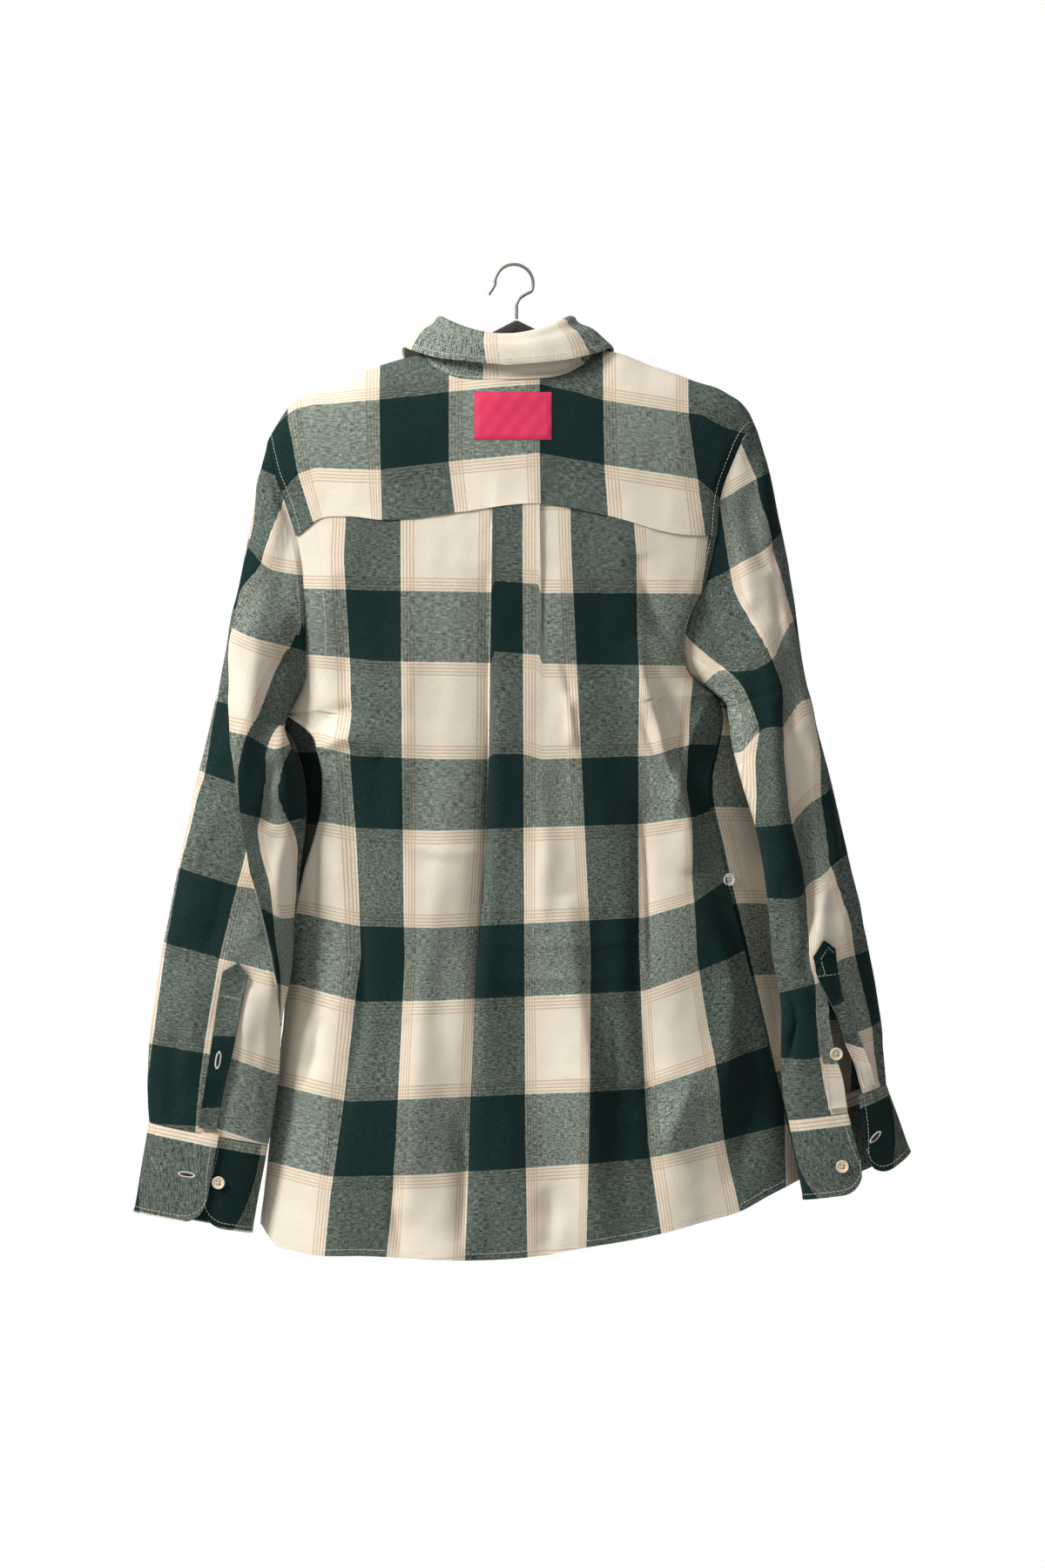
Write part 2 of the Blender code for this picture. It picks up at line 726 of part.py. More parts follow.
def sleeve_points(side):
    angles = sleeve_angles(side)
    top_share, top_angle = SLIT_ROWS[side][0][:2]
    first = int(np.argmin(np.abs(angles - math.radians(top_angle))))
    turned = np.concatenate([angles[first:-1], angles[: first + 1] + 2 * math.pi])
    start = turned[0]
    rows = []
    low = np.linspace(0, top_share, SLEEVE_RINGS - SLIT_RINGS + 1)
    high = np.linspace(top_share, SLEEVE_END, SLIT_RINGS + 1)[1:]
    for share in np.concatenate([low, high]):
        move = ease(share / top_share)
        slit_low, slit_high = slit_edges(side, share)
        begin, end = slit_high, slit_low + 2 * math.pi
        spread = (turned - turned[0]) / (turned[-1] - turned[0])
        ring = turned * (1 - move) + (begin + (end - begin) * spread) * move
        rows.append(sleeve_point(side, ring, share))
    points = np.array(rows)
    return points[::-1] if side == "left" else points


def cuff_point(side, angle, down):
    angle, down = np.broadcast_arrays(np.asarray(angle, float), np.asarray(down, float))
    outer = np.array(CUFFS[side]["outer"])
    inner = np.array(CUFFS[side]["inner"])
    at = down[..., None]
    return ring_point(
        outer[0] + (outer[1] - outer[0]) * at,
        inner[0] + (inner[1] - inner[0]) * at,
        angle,
        np.full(down.shape, CUFF_DEPTH),
    )


def cuff_points(side):
    end, start = slit_edges(side, 1.0)
    near = np.radians(CUFF_END_ANGLES)
    whole = 2 * math.pi - (start - end)
    middle = np.linspace(near[-1], whole - near[-1], CUFF_MIDDLE_COLUMNS)
    steps = np.concatenate([near[:-1], middle, (whole - near[:-1])[::-1]])
    angles = start + steps
    length = np.linalg.norm(
        np.diff(cuff_point(side, angles, np.full(angles.shape, 0.5)), axis=0), axis=1
    )
    along = np.concatenate([[0], np.cumsum(length)])
    from_end = np.minimum(along, along[-1] - along)
    inside_corner = np.clip(CUFF_CORNER - from_end, 0, CUFF_CORNER)
    rise = CUFF_CORNER - np.sqrt(CUFF_CORNER**2 - inside_corner**2)
    height = np.linalg.norm(np.subtract(*CUFFS[side]["outer"]))
    rows = []
    for down in CUFF_LEVELS:
        reach = down * (1 - rise / height * down)
        rows.append(cuff_point(side, angles, reach))
    points = np.array(rows)
    return points[::-1] if side == "left" else points


def normals_of(points):
    across = np.gradient(points, axis=1)
    along = np.gradient(points, axis=0)
    normal = np.cross(across, along)
    return normal / np.linalg.norm(normal, axis=-1, keepdims=True)


def lift(points, height):
    return points + normals_of(points) * height


def strip_points(side, strip, steps, point):
    # a strip between two angles that change along the sleeve, with a point this long at its top
    rows = []
    for share in np.linspace(strip["share"][0], strip["share"][-1], steps + 1):
        low = np.interp(share, strip["share"], strip["low"])
        high = np.interp(share, strip["share"], strip["high"])
        angles = np.radians(np.linspace(low, high, STRIP_COLUMNS))
        rows.append(sleeve_point(side, angles, np.full(STRIP_COLUMNS, share)))
    points = np.array(rows)
    toward = points[0, 1:3].mean(axis=0) - points[1, 1:3].mean(axis=0)
    points[0, 1:3] += toward / np.linalg.norm(toward) * point
    return points[::-1] if side == "left" else points


def stand_angles():
    # the neck's own columns, from one lapped end round the back to the other
    back = np.linspace(0, math.pi / 2, NECK_COLUMNS // 2 + 1)
    drops = STRAP_DROP * (np.arange(2, STRAP_STEPS) / STRAP_STEPS) ** 2
    strap = math.pi - np.arccos(drops / NECK_DROP[1])
    front = math.pi - front_neck_angles()[::-1]
    half = np.concatenate([back, strap, front, (math.pi, math.pi + COLLAR["lap"])])
    return np.concatenate([-half[:0:-1], half])


def neck_edge(angle):
    # the neck's edge on the torso; 0 is centre back, 180 degrees centre front
    across = neck_across(angle)
    back = torso(across, neck_level(across, -1), -1)
    front = torso(across, neck_level(across, 1), 1)
    return np.where((np.cos(angle) >= 0)[..., None], back, front)


def fold_line(angle):
    cosine = np.cos(angle)
    rear = cosine >= 0
    y = np.where(rear, COLLAR["back_y"], -COLLAR["front_y"]) * cosine
    end_z = np.where(rear, COLLAR["back_z"], COLLAR["front_z"])
    z = COLLAR["side_z"] + (end_z - COLLAR["side_z"]) * cosine**2
    x = COLLAR["centre"] + COLLAR["half_width"] * np.sin(angle)
    return np.stack([x, y, z], axis=-1)


def outward(angle):
    return np.stack([np.sin(angle), -np.cos(angle), np.zeros_like(angle)], axis=-1)


def lap_shift(angle):
    # one end of the stand passes outside the other at the centre front
    past = ease((-angle - math.pi * LAP_START) / (math.pi * LAP_BLEND))
    return (past * (DOUBLE_CLOTH + 3 * LAYER_GAP))[..., None] * outward(angle)


def stand_points():
    angles = stand_angles()
    low, high = neck_edge(angles), fold_line(angles)
    rows = []
    height = np.linalg.norm(high - low, axis=-1, keepdims=True)
    for up in (0.0, 0.5, 1.0):
        bulge = STAND_BULGE * math.sin(math.pi * up)
        reach = np.maximum(up, STAND_LIFT / height)
        rows.append(low + (high - low) * reach + outward(angles) * bulge + lap_shift(angles))
    return np.array(rows)


def stand_front():
    # the middle of the stand's outer lapped end
    angle = np.array(-math.pi)
    middle = (neck_edge(angle) + fold_line(angle)) / 2
    return middle + outward(angle) * STAND_BULGE + lap_shift(angle)


def leaf_edge(angle):
    degrees = np.degrees(np.abs(angle))
    side = np.where(angle < 0, curve(degrees, LEAF["angle"], LEAF["left"]),
                    curve(degrees, LEAF["angle"], LEAF["right"]))
    y = curve(degrees, LEAF["angle"], LEAF["y"])
    z = curve(degrees, LEAF["angle"], LEAF["z"])
    return np.stack([side, y, z], axis=-1)


def leaf_points():
    angles = np.radians(np.concatenate([-LEAF_STEPS[:0:-1], LEAF_STEPS[:-1]]))
    high, low = fold_line(angles), leaf_edge(angles)
    out = outward(angles)
    rows = [low]
    for share, bow in LEAF_ROLL_AT:
        rows.append(high + (low - high) * share + out * LEAF_ROLL * bow)
    top = high + lap_shift(angles)
    for away, up in LEAF_TOP:
        rows.append(top + out * away + (0.0, 0.0, up))
    return np.array(rows)


def back_surface_y(x, z):
    # depth of the yoke's outer surface behind a point seen from the back
    share = np.zeros(np.shape(x))
    level = np.zeros(np.shape(x))
    for _ in range(4):
        low = underarm_z(share)
        level = (z - low) / (curve(x, RIDGE["x"], RIDGE["z"]) - low)
        share = share + (x - across_body(share, level)) / SHOULDER_BASE[1]
    return torso(share, level, -1)[..., 1]


def label_points():
    columns, rows = LABEL["squares"]
    x, z = np.meshgrid(np.linspace(*LABEL["x"], columns + 1), np.linspace(*LABEL["z"], rows + 1))
    y = back_surface_y(x, z) - LABEL["wall"] - LAYER_GAP * 1.5
    return np.stack([x, y, z], axis=-1)


def hanger_points():
    left, right = HANGER["tips"]
    x = left + (right - left) * np.linspace(0, 1, HANGER["columns"])
    middle, peak = HANGER["peak"]
    off = np.abs(x - middle) / HANGER["neck_half"]
    sink = HANGER["below_ridge"] + HANGER["neck_sink"] * ease(2 - off)
    top = curve(x, RIDGE["x"], RIDGE["z"]) - sink
    foot = curve(middle + np.sign(x - middle) * HANGER["neck_half"], RIDGE["x"], RIDGE["z"])
    foot = foot - HANGER["below_ridge"] - HANGER["neck_sink"]
    neck = peak + (foot - peak) * np.clip(off, 0, 1)
    top = np.where(off < 1, neck, top)
    from_tip = np.minimum(x - left, right - x)
    round_end = np.sqrt(np.clip(from_tip / HANGER["height"], HANGER["blunt"], 1))
    half = HANGER["height"] / 2 * round_end
    centre = top - HANGER["height"] / 2
    y = np.full(x.shape, -HANGER["thick"] / 2)
    return np.array([np.stack([x, y, centre - half], -1), np.stack([x, y, centre + half], -1)])


def hook_path():
    centre_x, centre_z = HOOK["centre"]
    flat = list(HOOK["tip"])
    for degrees in np.linspace(*HOOK["sweep"]):
        angle = math.radians(degrees)
        flat.append((centre_x + HOOK["radius"] * math.cos(angle),
                     centre_z + HOOK["radius"] * math.sin(angle)))
    flat += HOOK["stem"]
    flat.append((HANGER["peak"][0], HANGER["peak"][1] + SEAM_GAP))
    return [(x, 0.0, z) for x, z in flat]


def new_material(name):
    colour, roughness, metallic = COLOURS[name]
    material = bpy.data.materials.new(name)
    material.use_nodes = True
    shader = material.node_tree.nodes["Principled BSDF"]
    shader.inputs["Base Color"].default_value = (*colour, 1.0)
    shader.inputs["Roughness"].default_value = roughness
    shader.inputs["Metallic"].default_value = metallic
    return material


def adopt(obj, name, look):
    obj.name = name
    obj.data.name = name
    obj.data.materials.clear()
    obj.data.materials.append(new_material(look))
    for owner in list(obj.users_collection):
        owner.objects.unlink(obj)
    bpy.data.collections[COLLECTION].objects.link(obj)
    return obj


def add_sheet(name, look, points, wall, inward=True, merge=False, gaps=None):
    # a grid of cloth given its wall with Solidify; gaps names the squares left out
    rows, columns = points.shape[:2]
    bpy.ops.mesh.primitive_grid_add(x_subdivisions=columns - 1, y_subdivisions=rows - 1, size=1)
    obj = bpy.context.object
    obj.data.vertices.foreach_set("co", points.reshape(-1))
    mesh = bmesh.new()
    mesh.from_mesh(obj.data)
    if gaps:
        mesh.faces.ensure_lookup_table()
        doomed = [mesh.faces[row * (columns - 1) + column] for row, column in gaps]
        bmesh.ops.delete(mesh, geom=doomed, context="FACES")
    if merge:
        bmesh.ops.remove_doubles(mesh, verts=mesh.verts, dist=0.00005)
    mesh.to_mesh(obj.data)
    mesh.free()
    obj.data.update()
    solid = obj.modifiers.new("wall", "SOLIDIFY")
    solid.thickness = wall
    solid.offset = -1.0 if inward else 1.0
    obj.data.shade_smooth()
    return adopt(obj, name, look)


def add_button(name, centre, normal):
    normal = np.asarray(normal, dtype=float)
    normal = normal / np.linalg.norm(normal)
    bpy.ops.mesh.primitive_cylinder_add(vertices=BUTTON["sides"], radius=BUTTON["radius"],
                                        depth=BUTTON["thick"])
    obj = bpy.context.object
    lift_by = BUTTON["thick"] / 2 + LAYER_GAP
    obj.location = np.asarray(centre) + normal * lift_by
    obj.rotation_mode = "QUATERNION"
    obj.rotation_quaternion = Vector(normal).to_track_quat("Z", "Y")
    edge = obj.modifiers.new("edge", "BEVEL")
    edge.width = BUTTON["edge"]
    edge.segments = 1
    edge.limit_method = "ANGLE"
    return adopt(obj, name, "button")


def dense(surface, side):
    # a fine grid of a sleeve or cuff's outer half as seen from the back
    angles = np.linspace(DENSE_MARGIN, math.pi - DENSE_MARGIN, DENSE_COLUMNS)
    angle, share = np.meshgrid(angles if side == "left" else angles[::-1], np.linspace(1, 0, DENSE_ROWS))
    return surface(side, angle, share)


def dense_back():
    across, level = np.meshgrid(np.linspace(-1, 1, DENSE_ROWS), np.linspace(-1, 0, DENSE_ROWS))
    return torso(across, level, -1)


def nearest_on(points, x, z):
    # the grid point seen nearest to this place from the back
    flat = points.reshape(-1, 3)
    normals = normals_of(points).reshape(-1, 3)
    seen = np.where(normals[:, 1] < 0, 0.0, 1.0)
    found = int(np.argmin((flat[:, 0] - x) ** 2 + (flat[:, 2] - z) ** 2 + seen))
    return flat[found], normals[found]


def add_wire(name, look, path, radius):
    line = bpy.data.curves.new(name, "CURVE")
    line.dimensions = "3D"
    line.bevel_depth = radius
    line.bevel_resolution = 2
    line.use_fill_caps = True
    spline = line.splines.new("POLY")
    spline.points.add(len(path) - 1)
    for point, place in zip(spline.points, path):
        point.co = (*place, 1.0)
    obj = bpy.data.objects.new(name, line)
    bpy.context.scene.collection.objects.link(obj)
    return adopt(obj, name, look)


def yoke_gaps(columns):
    neck_first = SHOULDER_COLUMNS
    neck_last = SHOULDER_COLUMNS + NECK_COLUMNS
    rows = range(YOKE_STEPS, YOKE_STEPS + STRAP_STEPS)
    return [(row, column) for row in rows for column in range(neck_first, neck_last)]


def add_body():
    add_sheet("back_panel", "flannel", back_panel_points(), CLOTH)
    yoke = yoke_points()
    add_sheet("yoke", "flannel", yoke, CLOTH, gaps=yoke_gaps(yoke.shape[1]))
    add_sheet("front_left", "flannel", front_points(-1), CLOTH)
    add_sheet("front_right", "flannel", front_points(1), CLOTH)
    add_sheet("front_band", "flannel", band_points(), DOUBLE_CLOTH)


def add_collar():
    add_sheet("collar_stand", "flannel", stand_points(), DOUBLE_CLOTH)
    add_sheet("collar_leaf", "flannel", leaf_points(), DOUBLE_CLOTH)


def add_sleeves():
    for side in ("left", "right"):
        add_sheet(f"sleeve_{side}", "flannel", sleeve_points(side), CLOTH, merge=True)
        add_sheet(f"cuff_{side}", "flannel", cuff_points(side), DOUBLE_CLOTH)
        band = lift(strip_points(side, GAUNTLET[side], GAUNTLET_STEPS, GAUNTLET_POINT), LAYER_GAP)
        add_sheet(f"gauntlet_{side}", "flannel", band, CLOTH, inward=False)
    strip = lift(strip_points("right", UNDERLAP["right"], UNDERLAP_STEPS, 0.0), LAYER_GAP)
    add_sheet("underlap_right", "flannel", strip, CLOTH, inward=False)


def add_buttons():
    for number, level in enumerate(np.linspace(*FRONT_BUTTON_LEVELS, FRONT_BUTTONS), start=1):
        across = float(neck_across(0.0))
        place = torso(across, level, 1)
        ahead = torso(across, level + LEVEL_STEP, 1) - torso(across, level - LEVEL_STEP, 1)
        normal = np.cross(ahead, (1.0, 0.0, 0.0)) * (1 if ahead[2] > 0 else -1)
        add_button(f"front_button_{number}", place, normal)
    place = stand_front()
    add_button("collar_button", place, outward(np.array(-math.pi)))
    surfaces = {
        "cuff_button_left": (dense(cuff_point, "left"), 0.0),
        "cuff_button_right": (dense(cuff_point, "right"), 0.0),
        "underlap_button_right": (dense(sleeve_point, "right"), CLOTH + LAYER_GAP),
        "side_button": (dense_back(), 0.0),
    }
    for name, (points, raised) in surfaces.items():
        place, normal = nearest_on(points, *BUTTON_PLACES[name])
        add_button(name, place + normal * raised, normal)


def build():
    clear_scene()
    collection = bpy.data.collections.new(COLLECTION)
    bpy.context.scene.collection.children.link(collection)
    add_body()
    add_collar()
    add_sleeves()
    add_sheet("label", "label", label_points(), LABEL["wall"])
    add_sheet("hanger_body", "hanger", hanger_points(), HANGER["thick"])
    add_wire("hanger_hook", "wire", hook_path(), HOOK["wire"])
    add_buttons()


build()
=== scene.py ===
# The looks of a checked flannel shirt on a slim hanger: cloth, thread, buttons, wire, light, camera.
# The shirt's back faces -Y. Lengths are in metres, and the drawn lines below in millimetres.
import math

import bmesh
import bpy
import numpy as np
from mathutils import Matrix, Vector
from mathutils.bvhtree import BVHTree


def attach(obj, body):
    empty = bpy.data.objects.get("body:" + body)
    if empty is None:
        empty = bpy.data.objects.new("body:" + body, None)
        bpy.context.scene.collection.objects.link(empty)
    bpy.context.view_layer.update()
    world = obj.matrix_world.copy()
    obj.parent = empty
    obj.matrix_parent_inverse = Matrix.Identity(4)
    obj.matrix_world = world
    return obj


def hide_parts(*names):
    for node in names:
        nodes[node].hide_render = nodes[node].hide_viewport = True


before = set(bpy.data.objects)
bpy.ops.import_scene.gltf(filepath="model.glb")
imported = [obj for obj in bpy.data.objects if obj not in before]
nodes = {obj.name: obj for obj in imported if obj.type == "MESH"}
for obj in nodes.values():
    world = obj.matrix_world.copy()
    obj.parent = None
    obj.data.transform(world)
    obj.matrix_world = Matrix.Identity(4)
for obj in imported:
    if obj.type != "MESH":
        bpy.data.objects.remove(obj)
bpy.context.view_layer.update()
print("frame loaded:", len(nodes), "nodes")

mm = 0.001

# curves and tables


def betweenRows(at, knots, values, slopes):
    # a smooth curve between the rows on either side
    low = np.clip(np.searchsorted(knots, at) - 1, 0, len(knots) - 2)
    step = knots[low + 1] - knots[low]
    f = (at - knots[low]) / step
    rise = values[low + 1] - values[low]
    return (values[low] + rise * f * f * (3 - 2 * f) + step * slopes[low] * f * (1 - f) ** 2
            - step * slopes[low + 1] * f * f * (1 - f))


def smoothCurve(at, knots, values):
    # a smooth curve through a table's rows
    knots, values = np.asarray(knots, float), np.asarray(values, float)
    at = np.clip(np.asarray(at, float), knots[0], knots[-1])
    return betweenRows(at, knots, values, np.gradient(values, knots))


def ease(f):
    f = np.clip(f, 0.0, 1.0)
    return f * f * (3 - 2 * f)


def runLengths(path):
    # length run along a path up to each of its points
    return np.concatenate([[0], np.cumsum(np.linalg.norm(np.diff(path, axis=0), axis=1))])


def placeAlong(path, share):
    # a smooth path through the points, by share of its length
    path = np.asarray(path, float)
    lengths = runLengths(path)
    at = np.asarray(share, float) * lengths[-1]
    return np.stack([smoothCurve(at, lengths, path[:, axis]) for axis in range(path.shape[1])], axis=-1)


def smoothRows(rows, count):
    # more rows on smooth curves through the given ones
    rows = np.asarray(rows, float)
    spacing = np.linalg.norm(np.diff(rows, axis=0), axis=-1).mean(axis=-1)
    knots = np.concatenate([[0], np.cumsum(spacing)])
    slopes = np.gradient(rows, knots, axis=0)
    return np.array([betweenRows(at, knots, rows, slopes) for at in np.linspace(0, knots[-1], count)])


def arcLength(points, axis):
    # distance run along the grid's rows or columns
    steps = np.linalg.norm(np.diff(points, axis=axis), axis=-1)
    start = np.zeros_like(np.take(steps, [0], axis=axis))
    return np.concatenate([start, np.cumsum(steps, axis=axis)], axis=axis)


# the body's form, as the solids have it

body = {
    "sidePower": 0.85,
    "depthPower": 0.80,
    "ridgePower": 5.0,
    "armholeOpen": 0.14,
    "armholeBlend": 0.40,
    "frontDepth": 1.10,
    "crowd": 0.62,
    "underarm": (-0.390, -0.374),
    "strapDrop": 0.032,
    "neckCentre": -0.020,
    "neckHalf": 0.347,
    "neckDrop": {-1: 0.055, 1: 0.110},
    "bandHalf": 0.082,
    "seamGap": 0.0004,
    "bases": ((-0.1900, 0.1860), (-0.2158, 0.2105)),
    "baseBlend": 0.09,
    "notchPower": 5.0,
    "hemRise": 0.012,
    "sidePull": 4,           # how near the sides their own depth stays
    "levelRounds": 5,
    "neckPowers": {1: (2.0, 2.0, 0.5), -1: (1.9, 1.6, 0.79)},   # left of centre, right of it, root
}
# below the underarm, by share of the way down to the hem
lowerBody = {
    "share": (0.00, 0.04, 0.09, 0.16, 0.30, 0.50, 0.65, 0.80, 0.90, 1.00),
    "left": (-0.2037, -0.2030, -0.1970, -0.1900, -0.1912, -0.1965, -0.2070, -0.2144, -0.2186, -0.2230),
    "right": (0.1765, 0.1905, 0.1990, 0.2070, 0.2185, 0.2290, 0.2355, 0.2420, 0.2468, 0.2515),
    "depth": (0.047, 0.047, 0.047, 0.047, 0.048, 0.050, 0.052, 0.054, 0.055, 0.056),
    "leftSeam": (1.000, 0.860, 0.831, 0.856, 0.926, 0.996, 1.000, 1.000, 1.000, 1.000),
    "rightSeam": (1.000, 0.953, 0.891, 0.818, 0.821, 0.875, 0.916, 0.950, 0.970, 0.985),
    "leftY": (0.000, 0.008, 0.012, 0.012, 0.011, 0.010, 0.009, 0.008, 0.007, 0.006),
    "rightY": (0.000, 0.009, 0.014, 0.016, 0.016, 0.015, 0.014, 0.012, 0.011, 0.010),
}
armhole = {
    "share": (0.00, 0.05, 0.12, 0.20, 0.35, 0.50, 0.65, 0.80, 1.00),
    "left": (-0.2037, -0.1925, -0.1825, -0.1816, -0.1835, -0.1870, -0.1970, -0.2075, -0.2158),
    "right": (0.1765, 0.1550, 0.1460, 0.1475, 0.1642, 0.1735, 0.1780, 0.1908, 0.2105),
}
ridgeLine = {
    "x": (-0.2158, -0.2080, -0.1990, -0.1840, -0.1520, -0.1190, -0.0810, -0.0070, 0.0670, 0.0860,
          0.1210, 0.1520, 0.1850, 0.2000, 0.2067, 0.2105),
    "z": (-0.1520, -0.1376, -0.1240, -0.1125, -0.0996, -0.0874, -0.0765, -0.0450, -0.0720, -0.0755,
          -0.0874, -0.0996, -0.1117, -0.1224, -0.1330, -0.1436),
}
yokeSeam = {
    "x": (-0.1885, -0.1733, -0.1467, -0.1155, -0.0524, 0.0220, 0.0813, 0.1398, 0.1649),
    "z": (-0.2364, -0.2240, -0.2204, -0.2235, -0.2174, -0.2098, -0.2204, -0.2356, -0.2371),
}
hemLine = {
    "x": (-0.2219, -0.2120, -0.1900, -0.1300, 0.0050, 0.0670, 0.1125, 0.1580, 0.1960, 0.2190, 0.2480),
    "z": (-0.8360, -0.8500, -0.8575, -0.8600, -0.8610, -0.8510, -0.8436, -0.8320, -0.8216, -0.8094,
          -0.7960),
}


def tableAt(at, table, column, key="share"):
    return smoothCurve(at, table[key], table[column])


def ridgeAt(x):
    return tableAt(x, ridgeLine, "z", "x")


def columnShare(across, up):
    size = np.abs(across)
    crowd = body["crowd"] * (1 - ease(up / body["armholeBlend"]))
    return np.sign(across) * (size + crowd * size**3 * (1 - size))


def sectionAngle(share):
    return np.arcsin(np.clip(np.abs(share), 0, 1) ** (1 / body["sidePower"]))


def acrossBody(share, level):
    up, down = np.clip(level, 0, 1), np.clip(-level, 0, 1)
    x = np.zeros(np.broadcast(share, level).shape)
    for number, side in enumerate(("left", "right")):
        low = tableAt(down, lowerBody, side)
        edge = np.where(level < 0, low, tableAt(up, armhole, side))
        under, shoulder = body["bases"][0][number], body["bases"][1][number]
        blend = ease(down / body["baseBlend"])
        base = np.where(level < 0, under + (low - under) * blend, under + (shoulder - under) * up)
        part = np.clip((-1 if side == "left" else 1) * share, 0, 1)
        x = x + base * part + (edge - base) * part ** body["notchPower"]
    return x


def underarmZ(across):
    left, right = body["underarm"]
    return left + (right - left) * (across + 1) / 2


def bodyDepth(layer, down):
    return tableAt(down, lowerBody, "depth") * np.where(layer > 0, body["frontDepth"], 1.0)


def lowerTorso(across, down, layer):
    leftSeam = sectionAngle(np.minimum(tableAt(down, lowerBody, "leftSeam"), 1.0))
    rightSeam = sectionAngle(np.minimum(tableAt(down, lowerBody, "rightSeam"), 1.0))
    seam = np.where(across > 0, rightSeam, leftSeam)
    reach = np.where(layer < 0, seam, math.pi - seam)
    angle = sectionAngle(columnShare(across, 0.0)) * reach / (math.pi / 2)
    share = np.sign(across) * np.clip(np.sin(angle), 0, 1) ** body["sidePower"]
    cosine = np.cos(angle)
    x = acrossBody(share, -down)
    depth = bodyDepth(layer * np.sign(cosine), down)
    y = layer * depth * np.sign(cosine) * np.abs(cosine) ** body["depthPower"]
    y = y + tableAt(down, lowerBody, "leftY") * np.clip(-share, 0, 1) ** body["sidePull"]
    y = y + tableAt(down, lowerBody, "rightY") * np.clip(share, 0, 1) ** body["sidePull"]
    hem = tableAt(x, hemLine, "z", "x") + np.where(layer > 0, body["hemRise"] * (1 - share**2), 0.0)
    top = underarmZ(across)
    return np.stack([x, y, top + (hem - top) * down], axis=-1)


def upperTorso(across, up, layer):
    share = columnShare(across, up)
    x = acrossBody(share, up)
    low = underarmZ(across)
    keep = 1 - body["armholeOpen"] * ease(up / body["armholeBlend"])
    angle = sectionAngle(share * keep)
    depth = bodyDepth(layer, 0.0) * np.sqrt(1 - np.clip(up, 0, 1) ** body["ridgePower"])
    return np.stack([x, layer * depth * np.cos(angle) ** body["depthPower"],
                     low + (ridgeAt(x) - low) * up], axis=-1)


def torso(across, level, layer):
    # level runs from -1 at the hem through 0 at the underarm to 1 at the shoulder ridge
    across, level, layer = np.broadcast_arrays(*(np.asarray(a, float) for a in (across, level, layer)))
    low = lowerTorso(across, np.clip(-level, 0, 1), layer)
    high = upperTorso(across, np.clip(level, 0, 1), layer)
    return np.where((level < 0)[..., None], low, high)


def ridgeHeight(across, level):
    return ridgeAt(torso(across, level, -1)[..., 0]) - underarmZ(across)


def levelWhere(across, heightBelow):
    level = np.full(np.shape(across), 0.9)
    for _ in range(body["levelRounds"]):
        level = 1 - heightBelow / ridgeHeight(across, level)
    return level


def yokeSeamLevel(across):
    level = np.full(np.shape(across), 0.55)
    for _ in range(body["levelRounds"]):
        seam = tableAt(torso(across, level, -1)[..., 0], yokeSeam, "z", "x")
        level = (seam - underarmZ(across)) / ridgeHeight(across, level)
    return level


def neckLevel(across, layer):
    off = np.clip((across - body["neckCentre"]) / body["neckHalf"], -1, 1)
    leftPower, rightPower, root = body["neckPowers"][layer]
    power = np.where(off < 0, leftPower, rightPower)
    return levelWhere(across, body["neckDrop"][layer] * (1 - np.abs(off) ** power) ** root)


def neckAcross(angle):
    return body["neckCentre"] + body["neckHalf"] * np.sin(angle)


def neckSide(side, drop):
    off = math.sqrt(max(0.0, 1 - (drop / body["neckDrop"][1]) ** 2))
    return body["neckCentre"] + side * body["neckHalf"] * off


def inside(across):
    edge = 1 - body["seamGap"] / 0.5
    return np.clip(across, -edge, edge)


def normalsOf(points):
    across, along = np.gradient(points, axis=1), np.gradient(points, axis=0)
    normal = np.cross(across, along)
    return normal / np.maximum(np.linalg.norm(normal, axis=-1, keepdims=True), 1e-12)


# folds and creases

creases = {"steps": 25, "wobble": 0.18, "waves": 7, "waveKinds": 4, "turn": 1.7, "endPower": 0.6}
slackWaves = {"count": 9, "tilt": (0.9, 0.30), "spacing": (0.55, 1.7), "drift": 0.6, "driftPace": (0.8, 2.0),
              "phase": (0, 6), "share": (0.4, 1.0), "most": 4.0}


def alongPath(x, z, path):
    # signed distance from a path drawn on the cloth, and share of its length
    points = placeAlong(np.asarray(path, float) * mm, np.linspace(0, 1, creases["steps"]))
    steps = np.diff(points, axis=0)
    lengths = np.linalg.norm(steps, axis=1)
    start = np.concatenate([[0], np.cumsum(lengths)])
    best, side, share = np.full(x.shape, np.inf), np.zeros(x.shape), np.zeros(x.shape)
    for (ax, az), (dx, dz), length, begin in zip(points, steps, lengths, start):
        t = np.clip(((x - ax) * dx + (z - az) * dz) / length**2, 0, 1)
        ox, oz = x - ax - t * dx, z - az - t * dz
        gap = np.hypot(ox, oz)
        near = gap < best
        best = np.where(near, gap, best)
        side = np.where(near, np.sign(dx * oz - dz * ox), side)
        share = np.where(near, (begin + t * length) / start[-1], share)
    return best * side, share


def foldHeight(x, z, folds):
    # each fold: path, height, width to its right and to its left (going along it), sharpness
    total = np.zeros(x.shape)
    for number, (path, height, widths, power) in enumerate(folds):
        off, share = alongPath(x, z, path)
        waves = creases["waves"] + number % creases["waveKinds"]
        wobble = 1 + creases["wobble"] * np.sin(share * waves + number * creases["turn"])
        width = np.where(off > 0, widths[1], widths[0]) * mm * wobble
        ends = np.sin(math.pi * np.clip(share, 0.0, 1.0)) ** creases["endPower"]
        total += height * mm * wobble * ends * np.exp(-((np.abs(off) / width) ** power))
    return total


